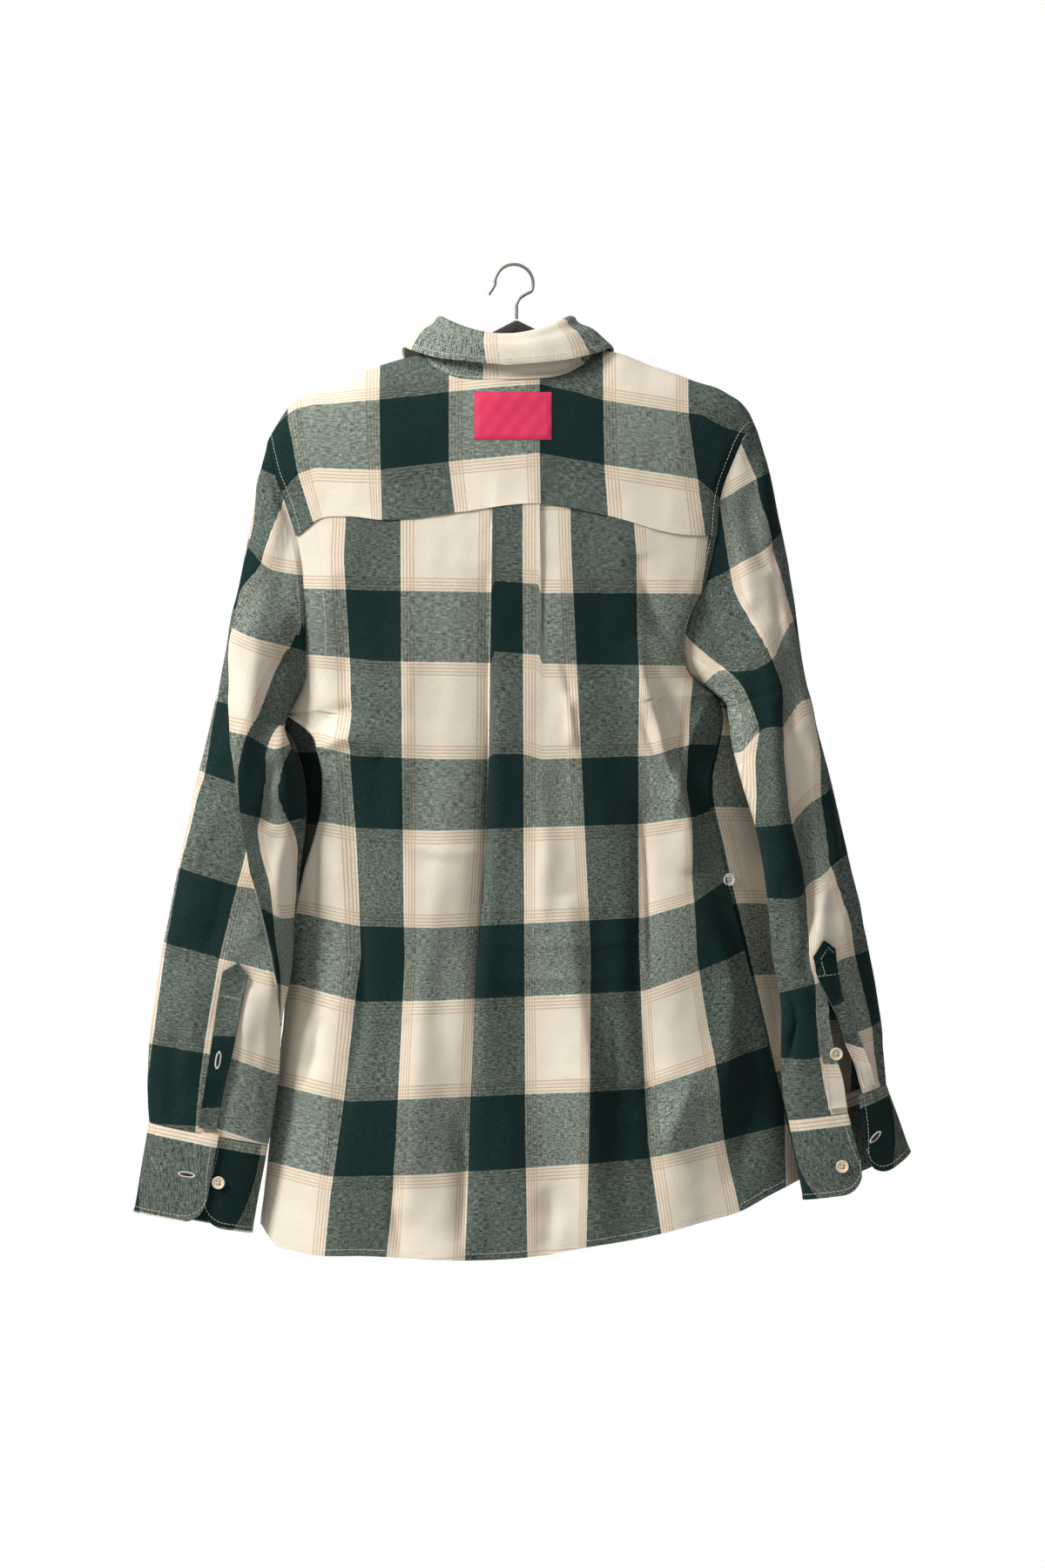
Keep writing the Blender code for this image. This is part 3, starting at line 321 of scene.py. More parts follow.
def slackCloth(x, z, seed, spacing, height, upright):
    # soft uneven slack: seeded waves, mostly running down the cloth
    rng = np.random.default_rng(seed)
    total = np.zeros(x.shape)
    for _ in range(slackWaves["count"]):
        angle = rng.normal(0, slackWaves["tilt"][upright])
        wave = spacing * rng.uniform(*slackWaves["spacing"])
        across = x * math.cos(angle) + z * math.sin(angle)
        pace, phase = rng.uniform(*slackWaves["driftPace"]), rng.uniform(*slackWaves["phase"])
        drift = slackWaves["drift"] * np.sin(z / spacing * pace + phase)
        share, phase = rng.uniform(*slackWaves["share"]), rng.uniform(*slackWaves["phase"])
        total += share * np.sin(2 * math.pi * across / wave + drift + phase)
    return height * total / slackWaves["most"]


# the check, as places where known threads cross

softening = ((-1, 0.15), (-0.5, 0.22), (0, 0.26), (0.5, 0.22), (1, 0.15))   # place and weight


def threadAt(line, at, byHeight):
    line = np.asarray(line, float) * mm
    key, value = (1, 0) if byHeight else (0, 1)
    line = line[np.argsort(line[:, key], kind="stable")]
    return np.interp(at, line[:, key], line[:, value])


def stripeCoord(at, crossings, values):
    # cloth coordinate from the threads' crossings, evenly spaced beyond them
    values = np.asarray(values, float) * mm
    result = values[0] + (at - crossings[0])
    for low, high, first, second in zip(crossings, crossings[1:], values, values[1:]):
        part = (at - low) / np.maximum(high - low, 1e-6)
        result = np.where(at >= low, first + part * (second - first), result)
    return np.where(at >= crossings[-1], values[-1] + at - crossings[-1], result)


def softThread(line, at, byHeight, soft):
    # the same line with its corners rounded over this length
    return sum(part * threadAt(line, at + soft * step, byHeight) for step, part in softening)


def clothUv(points, warps, wefts, soft=0.0):
    # warps: threads that run down, by x; wefts: threads that run across, by height
    x, z = points[..., 0], points[..., 2]
    u = stripeCoord(x, [softThread(line, z, True, soft) for line in warps.values()], list(warps))
    v = stripeCoord(-z, [-softThread(line, x, False, soft) for line in wefts.values()], list(wefts))
    return np.stack([u, v], axis=-1)


# shader helpers


class Wire:
    # a socket in a shader, so that sums and products of sockets are written as such
    def __init__(self, tree, socket):
        self.tree, self.socket = tree, socket

    def maths(self, operation, *values):
        made = addNode(self.tree, "ShaderNodeMath", {"operation": operation}, dict(enumerate(values)))
        return Wire(self.tree, made.outputs[0])

    def __add__(self, other): return self.maths("ADD", self, other)
    def __radd__(self, other): return self.maths("ADD", other, self)
    def __sub__(self, other): return self.maths("SUBTRACT", self, other)
    def __rsub__(self, other): return self.maths("SUBTRACT", other, self)
    def __mul__(self, other): return self.maths("MULTIPLY", self, other)
    def __rmul__(self, other): return self.maths("MULTIPLY", other, self)
    def __mod__(self, other): return self.maths("FLOORED_MODULO", self, other)
    def least(self, other): return self.maths("MINIMUM", self, other)
    def most(self, other): return self.maths("MAXIMUM", self, other)
    def sine(self): return self.maths("SINE", self)
    def held(self): return self.least(1.0).most(0.0)


def addNode(tree, kind, settings, values):
    made = tree.nodes.new(kind)
    for name, value in settings.items():
        setattr(made, name, value)
    for name, value in values.items():
        if isinstance(value, Wire):
            tree.links.new(value.socket, made.inputs[name])
        else:
            made.inputs[name].default_value = value
    return made


def uvIn(tree):
    return Wire(tree, addNode(tree, "ShaderNodeUVMap", {"uv_map": "UVMap"}, {}).outputs[0])


def placeIn(tree):
    # a place in the object's own metres
    return Wire(tree, addNode(tree, "ShaderNodeTexCoord", {}, {}).outputs["Object"])


def mixColours(tree, share, low, high, blend="MIX"):
    made = addNode(tree, "ShaderNodeMix", {"data_type": "RGBA", "blend_type": blend},
                   {0: share, 6: low, 7: high})
    return Wire(tree, made.outputs[2])


def newLook(name, constants):
    look = bpy.data.materials.new(name)
    look.use_nodes = True
    tree = look.node_tree
    shader = tree.nodes["Principled BSDF"]
    for socket, value in constants.items():
        shader.inputs[socket].default_value = value
    return look, tree, shader


def noiseOf(tree, vector, scale, detail=2.0, roughness=0.5):
    made = addNode(tree, "ShaderNodeTexNoise", {}, {"Vector": vector, "Scale": scale, "Detail": detail,
                                                    "Roughness": roughness})
    return Wire(tree, made.outputs[0])


def finishLook(tree, shader, colour, roughness, height, strength, distance):
    bump = addNode(tree, "ShaderNodeBump", {}, {"Strength": strength, "Distance": distance,
                                                "Height": height})
    tree.links.new(colour.socket, shader.inputs["Base Color"])
    tree.links.new(roughness.socket, shader.inputs["Roughness"])
    tree.links.new(bump.outputs[0], shader.inputs["Normal"])


flannel = {
    "green": (0.0040, 0.0185, 0.0170, 1),
    "cream": (0.735, 0.660, 0.540, 1),
    "tan": (0.56, 0.405, 0.270, 1),
    "blend": (0.80, 0.985, 1.0, 1),      # cream threads lose some red between green ones
    "warpPitch": 138.0,      # mm of a green and a cream band of warps
    "warpGreen": 59.0,
    "weftPitch": 146.0,
    "weftGreen": 62.0,
    "tanStart": 1.0,         # mm from a cream band's edge to its first tan thread
    "tanPitch": 2.9,
    "tanCount": 4,
    "creamWarp": 0.300,      # how much cream shows where cream warps cross green wefts
    "creamWeft": 0.150,      # and where cream wefts cross green warps
    "speckle": 0.92,
    "weftSpeckle": 0.62,     # share of it on cream wefts
    "bandSpeckle": 0.10,     # and where both threads are cream
    "greenSpeckle": (0.05, 0.002),
    "twill": 1.7,            # mm from one diagonal rib to the next
    "ragged": (620.0, 1.2),  # noise scale, and how far in mm the bands' edges wander
    "tanShares": (0.92, 0.12, 0.86),     # tan warps, their twill, tan wefts
    "yarn": (1150.0, 1.5, 0.6),
    "slub": (300.0, 3.0, 0.6),
    "broad": (16.0, 2.0, 0.5),
    "weftStreak": (5.5, 0.85),           # mm long and wide
    "warpStreak": (4.5, 0.85),
    "mottle": {"yarn": 1.3, "weftStreak": 1.15, "warpStreak": 0.75, "slub": 0.25, "twill": 0.12},
    "nap": {"yarn": 0.6, "twill": 0.14, "slub": 0.5, "weftStreak": 0.3},
    "worn": {"broad": 0.16, "slub": 0.14, "weftStreak": 0.06},
    "roughness": (0.88, 0.16),
    "bump": (0.42, 0.0008),
}


def bandOf(coord, pitch, green):
    # 1 in the cream bands, and how far in mm from a band's edge
    phase = coord % pitch
    inCream = ((phase - green) * 1.4 + 0.5).held() * ((pitch - phase) * 1.4).held()
    return inCream, (phase - green).least(pitch - phase)


def tanOf(depth):
    reach = flannel["tanStart"] + flannel["tanPitch"] * flannel["tanCount"]
    zone = ((depth - flannel["tanStart"]) * 3).held() * ((reach - depth) * 3).held()
    turn = (depth - flannel["tanStart"]) * (2 * math.pi / flannel["tanPitch"]) - math.pi / 2
    return zone * (turn.sine() * 0.9 + 0.25).held()


def streaksOf(tree, u, v, long, wide):
    # uneven threads: noise this long and this wide in mm
    # v is the way across the threads
    vector = addNode(tree, "ShaderNodeCombineXYZ", {}, {0: u * (1 / long), 1: v * (1 / wide)})
    return noiseOf(tree, Wire(tree, vector.outputs[0]), 1.0, 1.5, 0.5) - 0.5


def weighed(grain, shares):
    # the sum of these noises, each times its share
    parts = [grain[name] * share for name, share in shares.items()]
    return sum(parts[1:], parts[0])


def flannelLook():
    look, tree, shader = newLook("flannel", {"Sheen Weight": 0.03, "Sheen Roughness": 0.6,
                                             "Specular IOR Level": 0.05})
    vector = uvIn(tree)
    parts = addNode(tree, "ShaderNodeSeparateXYZ", {}, {0: vector})
    raggedScale, wander = flannel["ragged"]
    ragged = noiseOf(tree, vector, raggedScale, 1.0)
    u = Wire(tree, parts.outputs[0]) * 1000
    v = Wire(tree, parts.outputs[1]) * 1000
    creamU, depthU = bandOf(u + (ragged - 0.5) * wander, flannel["warpPitch"], flannel["warpGreen"])
    creamV, depthV = bandOf(v + (ragged - 0.5) * wander, flannel["weftPitch"], flannel["weftGreen"])
    grain = {name: noiseOf(tree, vector, *flannel[name]) - 0.5 for name in ("yarn", "slub", "broad")}
    grain["twill"] = twill = ((u + v) * (2 * math.pi / flannel["twill"])).sine()
    grain["weftStreak"] = streaksOf(tree, u, v, *flannel["weftStreak"])
    grain["warpStreak"] = streaksOf(tree, v, u, *flannel["warpStreak"])
    slub, mottle = grain["slub"], weighed(grain, flannel["mottle"])
    warpShare = (flannel["creamWarp"] + mottle * flannel["speckle"]).held()
    weftShare = (flannel["creamWeft"] + mottle * (flannel["speckle"] * flannel["weftSpeckle"])).held()
    greenShare, greenLeast = flannel["greenSpeckle"]
    both = creamU * creamV
    share = both * (1 + mottle * flannel["bandSpeckle"]).held()
    share = share + creamU * (1 - creamV) * warpShare + creamV * (1 - creamU) * weftShare
    share = share + (1 - creamU) * (1 - creamV) * ((mottle * greenShare + greenLeast).held())
    warpTan, twillTan, weftTan = flannel["tanShares"]
    tan = (tanOf(depthU) * creamU * (warpTan + twill * twillTan)).most(tanOf(depthV) * creamV * weftTan)
    pale = mixColours(tree, (tan + slub * 0.06).held(), flannel["cream"], flannel["tan"])
    faded = mixColours(tree, both, flannel["blend"], (1, 1, 1, 1))
    woven = mixColours(tree, share.held(), flannel["green"], mixColours(tree, 1.0, pale, faded, "MULTIPLY"))
    worn = weighed(grain, flannel["worn"]) + 1.0
    shade = addNode(tree, "ShaderNodeCombineXYZ", {}, {0: worn, 1: worn, 2: worn})
    colour = mixColours(tree, 1.0, woven, Wire(tree, shade.outputs[0]), "MULTIPLY")
    rough, rougher = flannel["roughness"]
    finishLook(tree, shader, colour, rough + slub * rougher, weighed(grain, flannel["nap"]), *flannel["bump"])
    return look


def threadLook(name, colour):
    look, tree, shader = newLook(name, {"Sheen Weight": 0.1, "Specular IOR Level": 0.3})
    place = placeIn(tree)
    parts = addNode(tree, "ShaderNodeSeparateXYZ", {}, {0: place})
    along = Wire(tree, parts.outputs[0]) + Wire(tree, parts.outputs[2])
    plies = (along * 9000.0).sine() * 0.5 + 0.5
    mottle = noiseOf(tree, place, 900.0)
    tint = mixColours(tree, (mottle * 0.5 + plies * 0.25).held(), (*colour, 1),
                      (*(0.72 * c for c in colour), 1))
    finishLook(tree, shader, tint, 0.62 + mottle * 0.1, plies, 0.3, 0.0002)
    return look


# cloth pieces

forms = {}
pieces = {}
weld = {"join": 0.00004, "drop": 0.00001, "crease": 52}   # metres, metres, degrees


def clothPiece(name, points, uv, wall, node, gaps=(), inward=True, look=None):
    # a grid moved into place and given its wall, hung from the root body in place of the CAD node that it
    # stands for, which is hidden
    rows, columns = points.shape[:2]
    bpy.ops.object.select_all(action="DESELECT")
    bpy.ops.mesh.primitive_grid_add(x_subdivisions=columns - 1, y_subdivisions=rows - 1, size=1)
    piece = bpy.context.object
    piece.name = piece.data.name = name
    piece.data.vertices.foreach_set("co", points.reshape(-1))
    layer = piece.data.uv_layers[0]
    layer.name = "UVMap"
    corner = np.zeros(len(piece.data.loops), np.int32)
    piece.data.loops.foreach_get("vertex_index", corner)
    layer.data.foreach_set("uv", uv.reshape(-1, 2)[corner].reshape(-1))
    mesh = bmesh.new()
    mesh.from_mesh(piece.data)
    mesh.faces.ensure_lookup_table()
    doomed = [mesh.faces[row * (columns - 1) + column] for row, column in gaps]
    bmesh.ops.delete(mesh, geom=doomed, context="FACES")
    bmesh.ops.remove_doubles(mesh, verts=mesh.verts, dist=weld["join"])
    bmesh.ops.dissolve_degenerate(mesh, edges=mesh.edges, dist=weld["drop"])
    mesh.to_mesh(piece.data)
    mesh.free()
    solid = piece.modifiers.new("wall", "SOLIDIFY")
    solid.thickness = wall
    solid.offset = -1.0 if inward else 1.0
    bpy.ops.object.modifier_apply(modifier="wall")
    bpy.ops.object.shade_smooth_by_angle(angle=math.radians(weld["crease"]))
    piece.data.materials.clear()
    piece.data.materials.append(look or looks["flannel"])
    forms[name] = points
    return settle(piece, node)


def settle(piece, node):
    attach(piece, "root")
    if node:
        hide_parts(node)
    pieces[piece.name] = piece
    return piece


looks = {
    "flannel": flannelLook(),
    "creamThread": threadLook("creamThread", (0.78, 0.73, 0.62)),
    "pinkThread": threadLook("pinkThread", (0.66, 0.06, 0.14)),
}
print("flannel and thread mixed")

# back panel

backPanel = {
    "columns": (88, 16, 88),
    "rows": (160, 58),
    "wall": 0.0011,
    "halfWidth": 0.205,
    "foldScale": 2.8,
    "slack": (11, 0.085, 0.0027),        # seed, spacing, height
    "fine": (12, 0.030, 0.00060),
    "slackShare": (0.5, 0.9, 0.30, 0.45),   # least, more further down, from this depth, over this one
    "yokeShare": 0.55,       # level of the rows' pleat columns under the yoke
    "yokeGap": 0.0006,
    "sideFade": 0.02,
    "seamFade": 0.012,
    "underarm": -0.39,
    "seamPuff": {"height": 0.0012, "width": 0.006, "below": 0.40, "over": 0.03},
    "roll": {"turns": (180, 140, 100, 60, 30), "radius": 0.0036, "share": 0.5, "least": 0.0004,
             "out": 0.0012, "tail": 3},
    "pleatStep": 0.0005,
    "pleatGap": 0.0004,
    "rounds": 12,
    "pleatLeft": ((-19.8, -216.6), (-22.8, -421.8), (-25.8, -509.2), (-33, -600), (-37, -700), (-42, -860)),
    "pleatRight": ((21.3, -216.6), (22.8, -300.2), (25.8, -429.4), (34, -600), (40, -860)),
    "pleatHeight": 0.0030,
    "pleatFade": ((-0.45, -0.80), (-0.24, -0.36)),
    "rollReach": (-0.388, -0.412, -0.56, -0.68),
    "rollHeight": 0.0080,
    "rollWidth": 0.042,
    "folds": (
        # path, height, widths, sharpness
        (((103.4, -376.2), (116.3, -419.5), (130.7, -450.7), (144.4, -486.4)), -1.5, (2.2, 8), 1.3),
        (((109.4, -475), (114, -524.4), (115.5, -558.6), (117, -593.6), (118.6, -627)), -1.4, (2.2, 7),
            1.3),
        (((-22, -376.2), (-25.1, -450.7), (-27.7, -510), (-30, -581.4), (-33.4, -628.5), (-35, -680.2)),
            -0.9, (2, 5), 1.3),
        (((36.5, -330.6), (45.6, -368.6), (53.2, -406.6), (57.8, -437)), -0.8, (2, 6), 1.3),
        (((-157.3, -456), (-167.2, -497.8), (-170.2, -535.8), (-171.8, -573.8)), -0.8, (5, 2.2), 1.3),
        (((82.1, -642.2), (86.6, -680.2), (85.9, -725.8), (83.6, -779)), -0.9, (2.2, 6), 1.3),
        (((-24, -262), (-26, -500), (-33, -600), (-37, -700), (-43, -858)), -3.6, (19, 3.2), 1.3),
        (((103, -327), (109, -357), (119, -393), (130, -437), (147, -483), (154, -528)), 4.4, (13, 7), 1.6),
        (((116, -352), (130, -393), (143, -437), (158, -480), (166, -520)), -2.8, (6, 12), 1.5),
        (((168, -378), (152, -408), (139, -452), (134, -490)), 2.6, (6, 9), 1.5),
        (((-170, -424), (-147, -413), (-116, -428)), 2.4, (6, 8), 1.5),
        (((-172, -400), (-150, -388), (-128, -392)), -1.6, (5, 7), 1.5),
        (((-146, -437), (-137, -528), (-134, -650), (-150, -733), (-162, -800)), -2.8, (15, 7), 1.5),
        (((-171, -655), (-176, -680), (-185, -716)), -1.8, (5, 7), 1.4),
        (((-52, -736), (-45, -777), (-47, -850)), -2.4, (10, 6), 1.5),
        (((-103, -787), (-106, -817), (-98, -858)), -2.4, (6, 9), 1.5),
        (((44, -549), (54, -629), (65, -711), (67, -796), (74, -846)), 3, (17, 12), 1.7),
        (((105, -467), (107, -549), (105, -609), (116, -711), (119, -787), (124, -846)), -3, (9, 17), 1.5),
        (((156, -549), (181, -609), (186, -680), (176, -731)), 3, (14, 12), 1.7),
        (((82, -731), (118, -752), (150, -781)), 1.4, (6, 8), 1.5),
        (((105, -255), (125, -315), (150, -346)), -2.2, (9, 11), 1.5),
        (((-151, -270), (-148, -351), (-148, -427)), -2, (10, 13), 1.6),
        (((-98, -262), (-94, -360), (-99, -470), (-94, -600)), 1.7, (16, 12), 1.7),
        (((-70, -520), (-80, -640), (-92, -790), (-96, -850)), 2.4, (18, 14), 1.8),
        (((-33, -590), (30, -592), (109, -588)), 0.8, (3, 5), 1.2),
        (((-33, -619), (35, -621), (109, -617)), 0.7, (3, 5), 1.2),
        (((48, -372), (47.5, -395), (49, -420)), 1.4, (5, 7), 1.5),
        (((20, -430), (26, -500), (22, -580)), 1.3, (8, 10), 1.6),
        (((155, -700), (140, -738), (120, -775)), 2, (9, 13), 1.6),
        (((29, -800), (31, -826), (28, -858)), -1.8, (9, 7), 1.6),
        (((195, -640), (203, -720), (196, -800)), -2, (12, 9), 1.6),
        (((-160, -640), (-120, -655), (-70, -650)), 0.7, (4, 6), 1.3),
        (((-120, -500), (-60, -512), (0, -506)), 0.5, (4, 6), 1.3),
        (((30, -700), (90, -712), (150, -700)), 0.7, (4, 7), 1.3),
    ),
    "warps": {
        -138: ((-146.7, -224.2), (-148.2, -254.6), (-134.5, -600.4), (-154.3, -760), (-164.2, -860.3)),
        -79: ((-99.6, -220.4), (-99.6, -254.6), (-95.8, -600.4), (-102.6, -760), (-111.7, -860.3)),
        0: ((-19.8, -216.6), (-22.8, -421.8), (-25.8, -509.2), (-33.4, -600.4), (-40.3, -760),
            (-43.3, -860.3)),
        33: ((-19, -216.6), (-19, -421.8), (-18.2, -509.2), (-10.6, -600.4), (-12.9, -760),
            (-12.9, -860.3)),
        59: ((6.1, -216.6), (6.1, -254.6), (7.6, -600.4), (8.4, -760), (10.6, -860.3)),
        74: ((20.5, -216.6), (20.5, -376.2), (19, -600.4), (21.3, -760)),
        110: ((21.3, -216.6), (28.9, -376.2), (44.8, -600.4), (45.6, -760)),
        138: ((47.9, -224.2), (48.6, -254.6), (65.4, -600.4), (63.1, -760), (60.8, -860.3)),
        197: ((102.6, -228.8), (104.9, -254.6), (107.9, -600.4), (114.8, -760), (127.7, -851.2)),
        276: ((167.2, -237.1), (158.1, -315.4), (148.2, -421.8), (149.7, -475), (154.3, -554.8),
            (156.6, -600.4), (171, -684), (181.6, -760), (194.6, -821.6)),
        335: ((211.3, -237.1), (192.3, -376.2), (180.9, -452.2), (183.2, -535.8), (202.2, -595.1),
            (230.3, -680.2), (234.1, -756.2)),
    },
    "wefts": {
        0: ((-187.7, -282.7), (-115.5, -285), (-20.5, -286.5), (-19.8, -276.6), (20.5, -279.7),
            (21.3, -287.3), (127.7, -287.3)),
        62: ((-180.1, -339.7), (-115.5, -345.8), (-20.5, -347.3), (-19.8, -337.4), (20.5, -340.5),
            (21.3, -348.1), (135.3, -349.6)),
        146: ((-168.7, -418), (-136.8, -427.9), (-69.9, -430.9), (-24.3, -430.9), (-20.5, -426.4),
            (6.1, -426.4), (22.8, -430.9), (116.3, -427.9), (150.5, -418)),
        208: ((-168.7, -484.1), (-136.8, -490.2), (-69.9, -492.5), (112.5, -486.4), (156.6, -480.3),
            (169.5, -475)),
        292: ((-187.7, -563.9), (-136.8, -575.3), (-69.9, -576.8), (112.5, -567.7), (154.3, -554.8),
            (183.2, -535.8)),
        354: ((-187.7, -627), (-134.5, -640.7), (-69.9, -639.2), (112.5, -630.8), (158.1, -614.1),
            (202.2, -595.1)),
        438: ((-206.7, -714.4), (-145.9, -727.3), (-69.9, -723.5), (112.5, -715.9), (177.1, -693.9),
            (230.3, -676.4)),
        500: ((-212.8, -781.3), (-161.1, -791.9), (-69.9, -788.9), (112.5, -776), (179.4, -760.8),
            (234.1, -748.6)),
    },
}


def acrossAt(level, line):
    # place across where a drawn line crosses this level of the back
    across = np.zeros(level.shape)
    for _ in range(backPanel["rounds"]):
        point = torso(across, level, -1)
        across = across + (threadAt(line, point[..., 2], True) - point[..., 0]) / backPanel["halfWidth"]
    return across


def pleatLift(x, z):
    step = backPanel["pleatStep"]
    left = threadAt(backPanel["pleatLeft"], z, True)
    right = threadAt(backPanel["pleatRight"], z, True)
    (l0, l1), (r0, r1) = backPanel["pleatFade"]
    fade = ease((z - l1) / (l0 - l1)), ease((z - r1) / (r0 - r1))
    part = np.clip((x - left) / (right - left), 0, 1)
    crown = fade[0] * (1 - part) + fade[1] * part
    edge = np.clip((x - left) / step + 0.5, 0, 1) * np.clip((right - x) / step + 0.5, 0, 1)
    return backPanel["pleatHeight"] * crown * edge


def backRelief(x, z):
    least, more, start, reach = backPanel["slackShare"]
    slack = slackCloth(x, z, *backPanel["slack"], True) * (least + more * ease((-z - start) / reach))
    fine = slackCloth(x, z, *backPanel["fine"], False)
    return foldHeight(x, z, backPanel["folds"]) * backPanel["foldScale"] + slack + fine + pleatLift(x, z)


def backColumns(level):
    # columns for one row: they follow both folds of the box pleat
    left = float(acrossAt(np.array(level), backPanel["pleatLeft"]))
    right = float(acrossAt(np.array(level), backPanel["pleatRight"]))
    step = backPanel["pleatGap"] / backPanel["halfWidth"]
    a, b, c = backPanel["columns"]
    return np.concatenate([
        np.linspace(-1, left - step, a + 1), np.linspace(left + step, right - step, b + 1),
        np.linspace(right + step, 1, c + 1)])


def makeBackPanel():
    rows = []
    for level in np.linspace(-1, 0, backPanel["rows"][0] + 1):
        rows.append(torso(inside(backColumns(level)), level, -1))
    for step in np.linspace(0, 1, backPanel["rows"][1] + 1)[1:]:
        across = backColumns(backPanel["yokeShare"] * step)
        level = (yokeSeamLevel(across) - backPanel["yokeGap"]) * step
        rows.append(torso(inside(across), level, -1))
    points = np.array(rows)
    uv = clothUv(points, backPanel["warps"], backPanel["wefts"])
    x, z = points[..., 0], points[..., 2]
    height = backRelief(x, z)
    # flat under the yoke, and at the side seams
    arc = arcLength(points, 1)
    fromLeft, fromRight = arc, arc[:, -1:] - arc
    sideEase = ease(fromRight / backPanel["sideFade"])
    seamEase = ease(np.minimum(fromLeft, fromRight) / backPanel["seamFade"])
    height = np.where(z < backPanel["underarm"], height * sideEase, height * seamEase)
    start, full, hold, end = backPanel["rollReach"]
    along = ease((start - z) / (start - full)) * (1 - ease((hold - z) / (hold - end)))
    height = height + along * backPanel["rollHeight"] * np.exp(-fromLeft / backPanel["rollWidth"])
    puff = backPanel["seamPuff"]
    below = ease((-puff["below"] - z) / puff["over"])
    height = height + puff["height"] * np.exp(-fromRight / puff["width"]) * below
    points = points + normalsOf(points) * height[..., None]
    # the left edge rolls under
    edge, lift, shape = points[:, 0], (along * backPanel["rollHeight"])[:, 0], backPanel["roll"]
    radius = np.minimum(shape["radius"], lift * shape["share"] + shape["least"])
    roll, rollUv = [], []
    for turn in shape["turns"]:
        angle = math.radians(turn)
        point = edge.copy()
        point[:, 0] += -radius * math.sin(angle) - shape["out"] * (lift > 0)
        point[:, 1] += radius * (1 - math.cos(angle))
        roll.append(point)
        rollUv.append(uv[:, 0] - np.stack([radius * angle, 0 * radius], axis=-1))
    first = roll[0].copy()
    first[:, 0] += radius * shape["tail"]
    roll.insert(0, first)
    rollUv.insert(0, rollUv[0] - np.stack([radius * shape["tail"], 0 * radius], axis=-1))
    points = np.concatenate([np.stack(roll, axis=1), points], axis=1)
    uv = np.concatenate([np.stack(rollUv, axis=1), uv], axis=1)
    return clothPiece("backPanel", points, uv, backPanel["wall"], "back_panel")


# yoke

yoke = {
    "columns": (44, 46, 46),
    "rows": (40, 12),
    "wall": 0.0012,
    "proud": 0.0009,
    "proudReach": 0.016,
    "seamRidge": (0.0007, 0.002, 0.0025),   # height, place, width
    "lift": 0.0002,
    "backPower": 1.7,
    "strapPower": 1.6,
    "turn": 0.45,            # share of the back's rows after which the check goes on by length
    "sideFade": 0.012,
    "seamFade": 0.01,
    "slack": (21, 0.07, 0.0009),
    "fine": (22, 0.026, 0.00035),
    "pleat": {"x": (-0.024, 0.0255), "edge": 0.006, "height": 0.0026, "reach": 0.022},
    "warps": {
        59: ((-198.4, -134.5), (-188.5, -182.4), (-177.8, -216.6), (-174.8, -224.2)),
        138: ((-117.8, -118.6), (-115.5, -224.2)),
        197: ((-57.8, -112.5), (-57.8, -173.3), (-52.4, -217.4)),
        276: ((21.3, -107.9), (21.3, -165.7), (22, -209.8)),
        335: ((76, -120.8), (76.8, -175.6), (79.8, -216.6)),
        414: ((150.5, -134.5), (158.1, -187.7), (164.2, -235.6)),
    },
    "wefts": {
        0: ((-187.7, -126.9), (-117.8, -118.6), (-57.8, -112.5), (21.3, -107.9), (76.8, -120.8),
            (158.1, -134.5), (196.1, -148.2)),
        62: ((-201.4, -198.4), (-195.3, -190), (-187, -182.4), (-172.5, -177.8), (-145.9, -179.4),
            (-117.8, -180.1), (-57.8, -173.3), (21.3, -165.7), (76.8, -175.6), (158.1, -187.7),
            (177.8, -205.2)),
    },
    "folds": (
        (((163, -238), (158, -228), (150, -222)), 1.6, (4, 5), 1.5),
        (((-150, -120), (-120, -150), (-90, -190)), 0.9, (14, 18), 1.8),
        (((120, -110), (110, -150), (96, -200)), 1, (12, 16), 1.8),
        (((185, -150), (176, -180), (160, -205)), 1.3, (8, 12), 1.7),
        (((-195, -160), (-184, -190), (-168, -210)), 1.2, (8, 12), 1.7),
    ),
}


def yokeAcross():
    a, b, c = yoke["columns"]
    left, right = neckSide(-1, 0.0), neckSide(1, 0.0)
    return np.concatenate([np.linspace(-1, left, a + 1)[:-1],
                           neckAcross(np.linspace(-math.pi / 2, math.pi / 2, b + 1)),
                           np.linspace(right, 1, c + 1)[1:]])


def strapRow(across, drop):
    moved = across.copy()
    for side in (-1, 1):
        edge, inner = neckSide(side, 0.0), neckSide(side, drop)
        out = side * across >= side * edge - 1e-6
        moved[out] = side - (side - across[out]) * (side - inner) / (side - edge)
    return torso(inside(moved), levelWhere(moved, drop), 1)


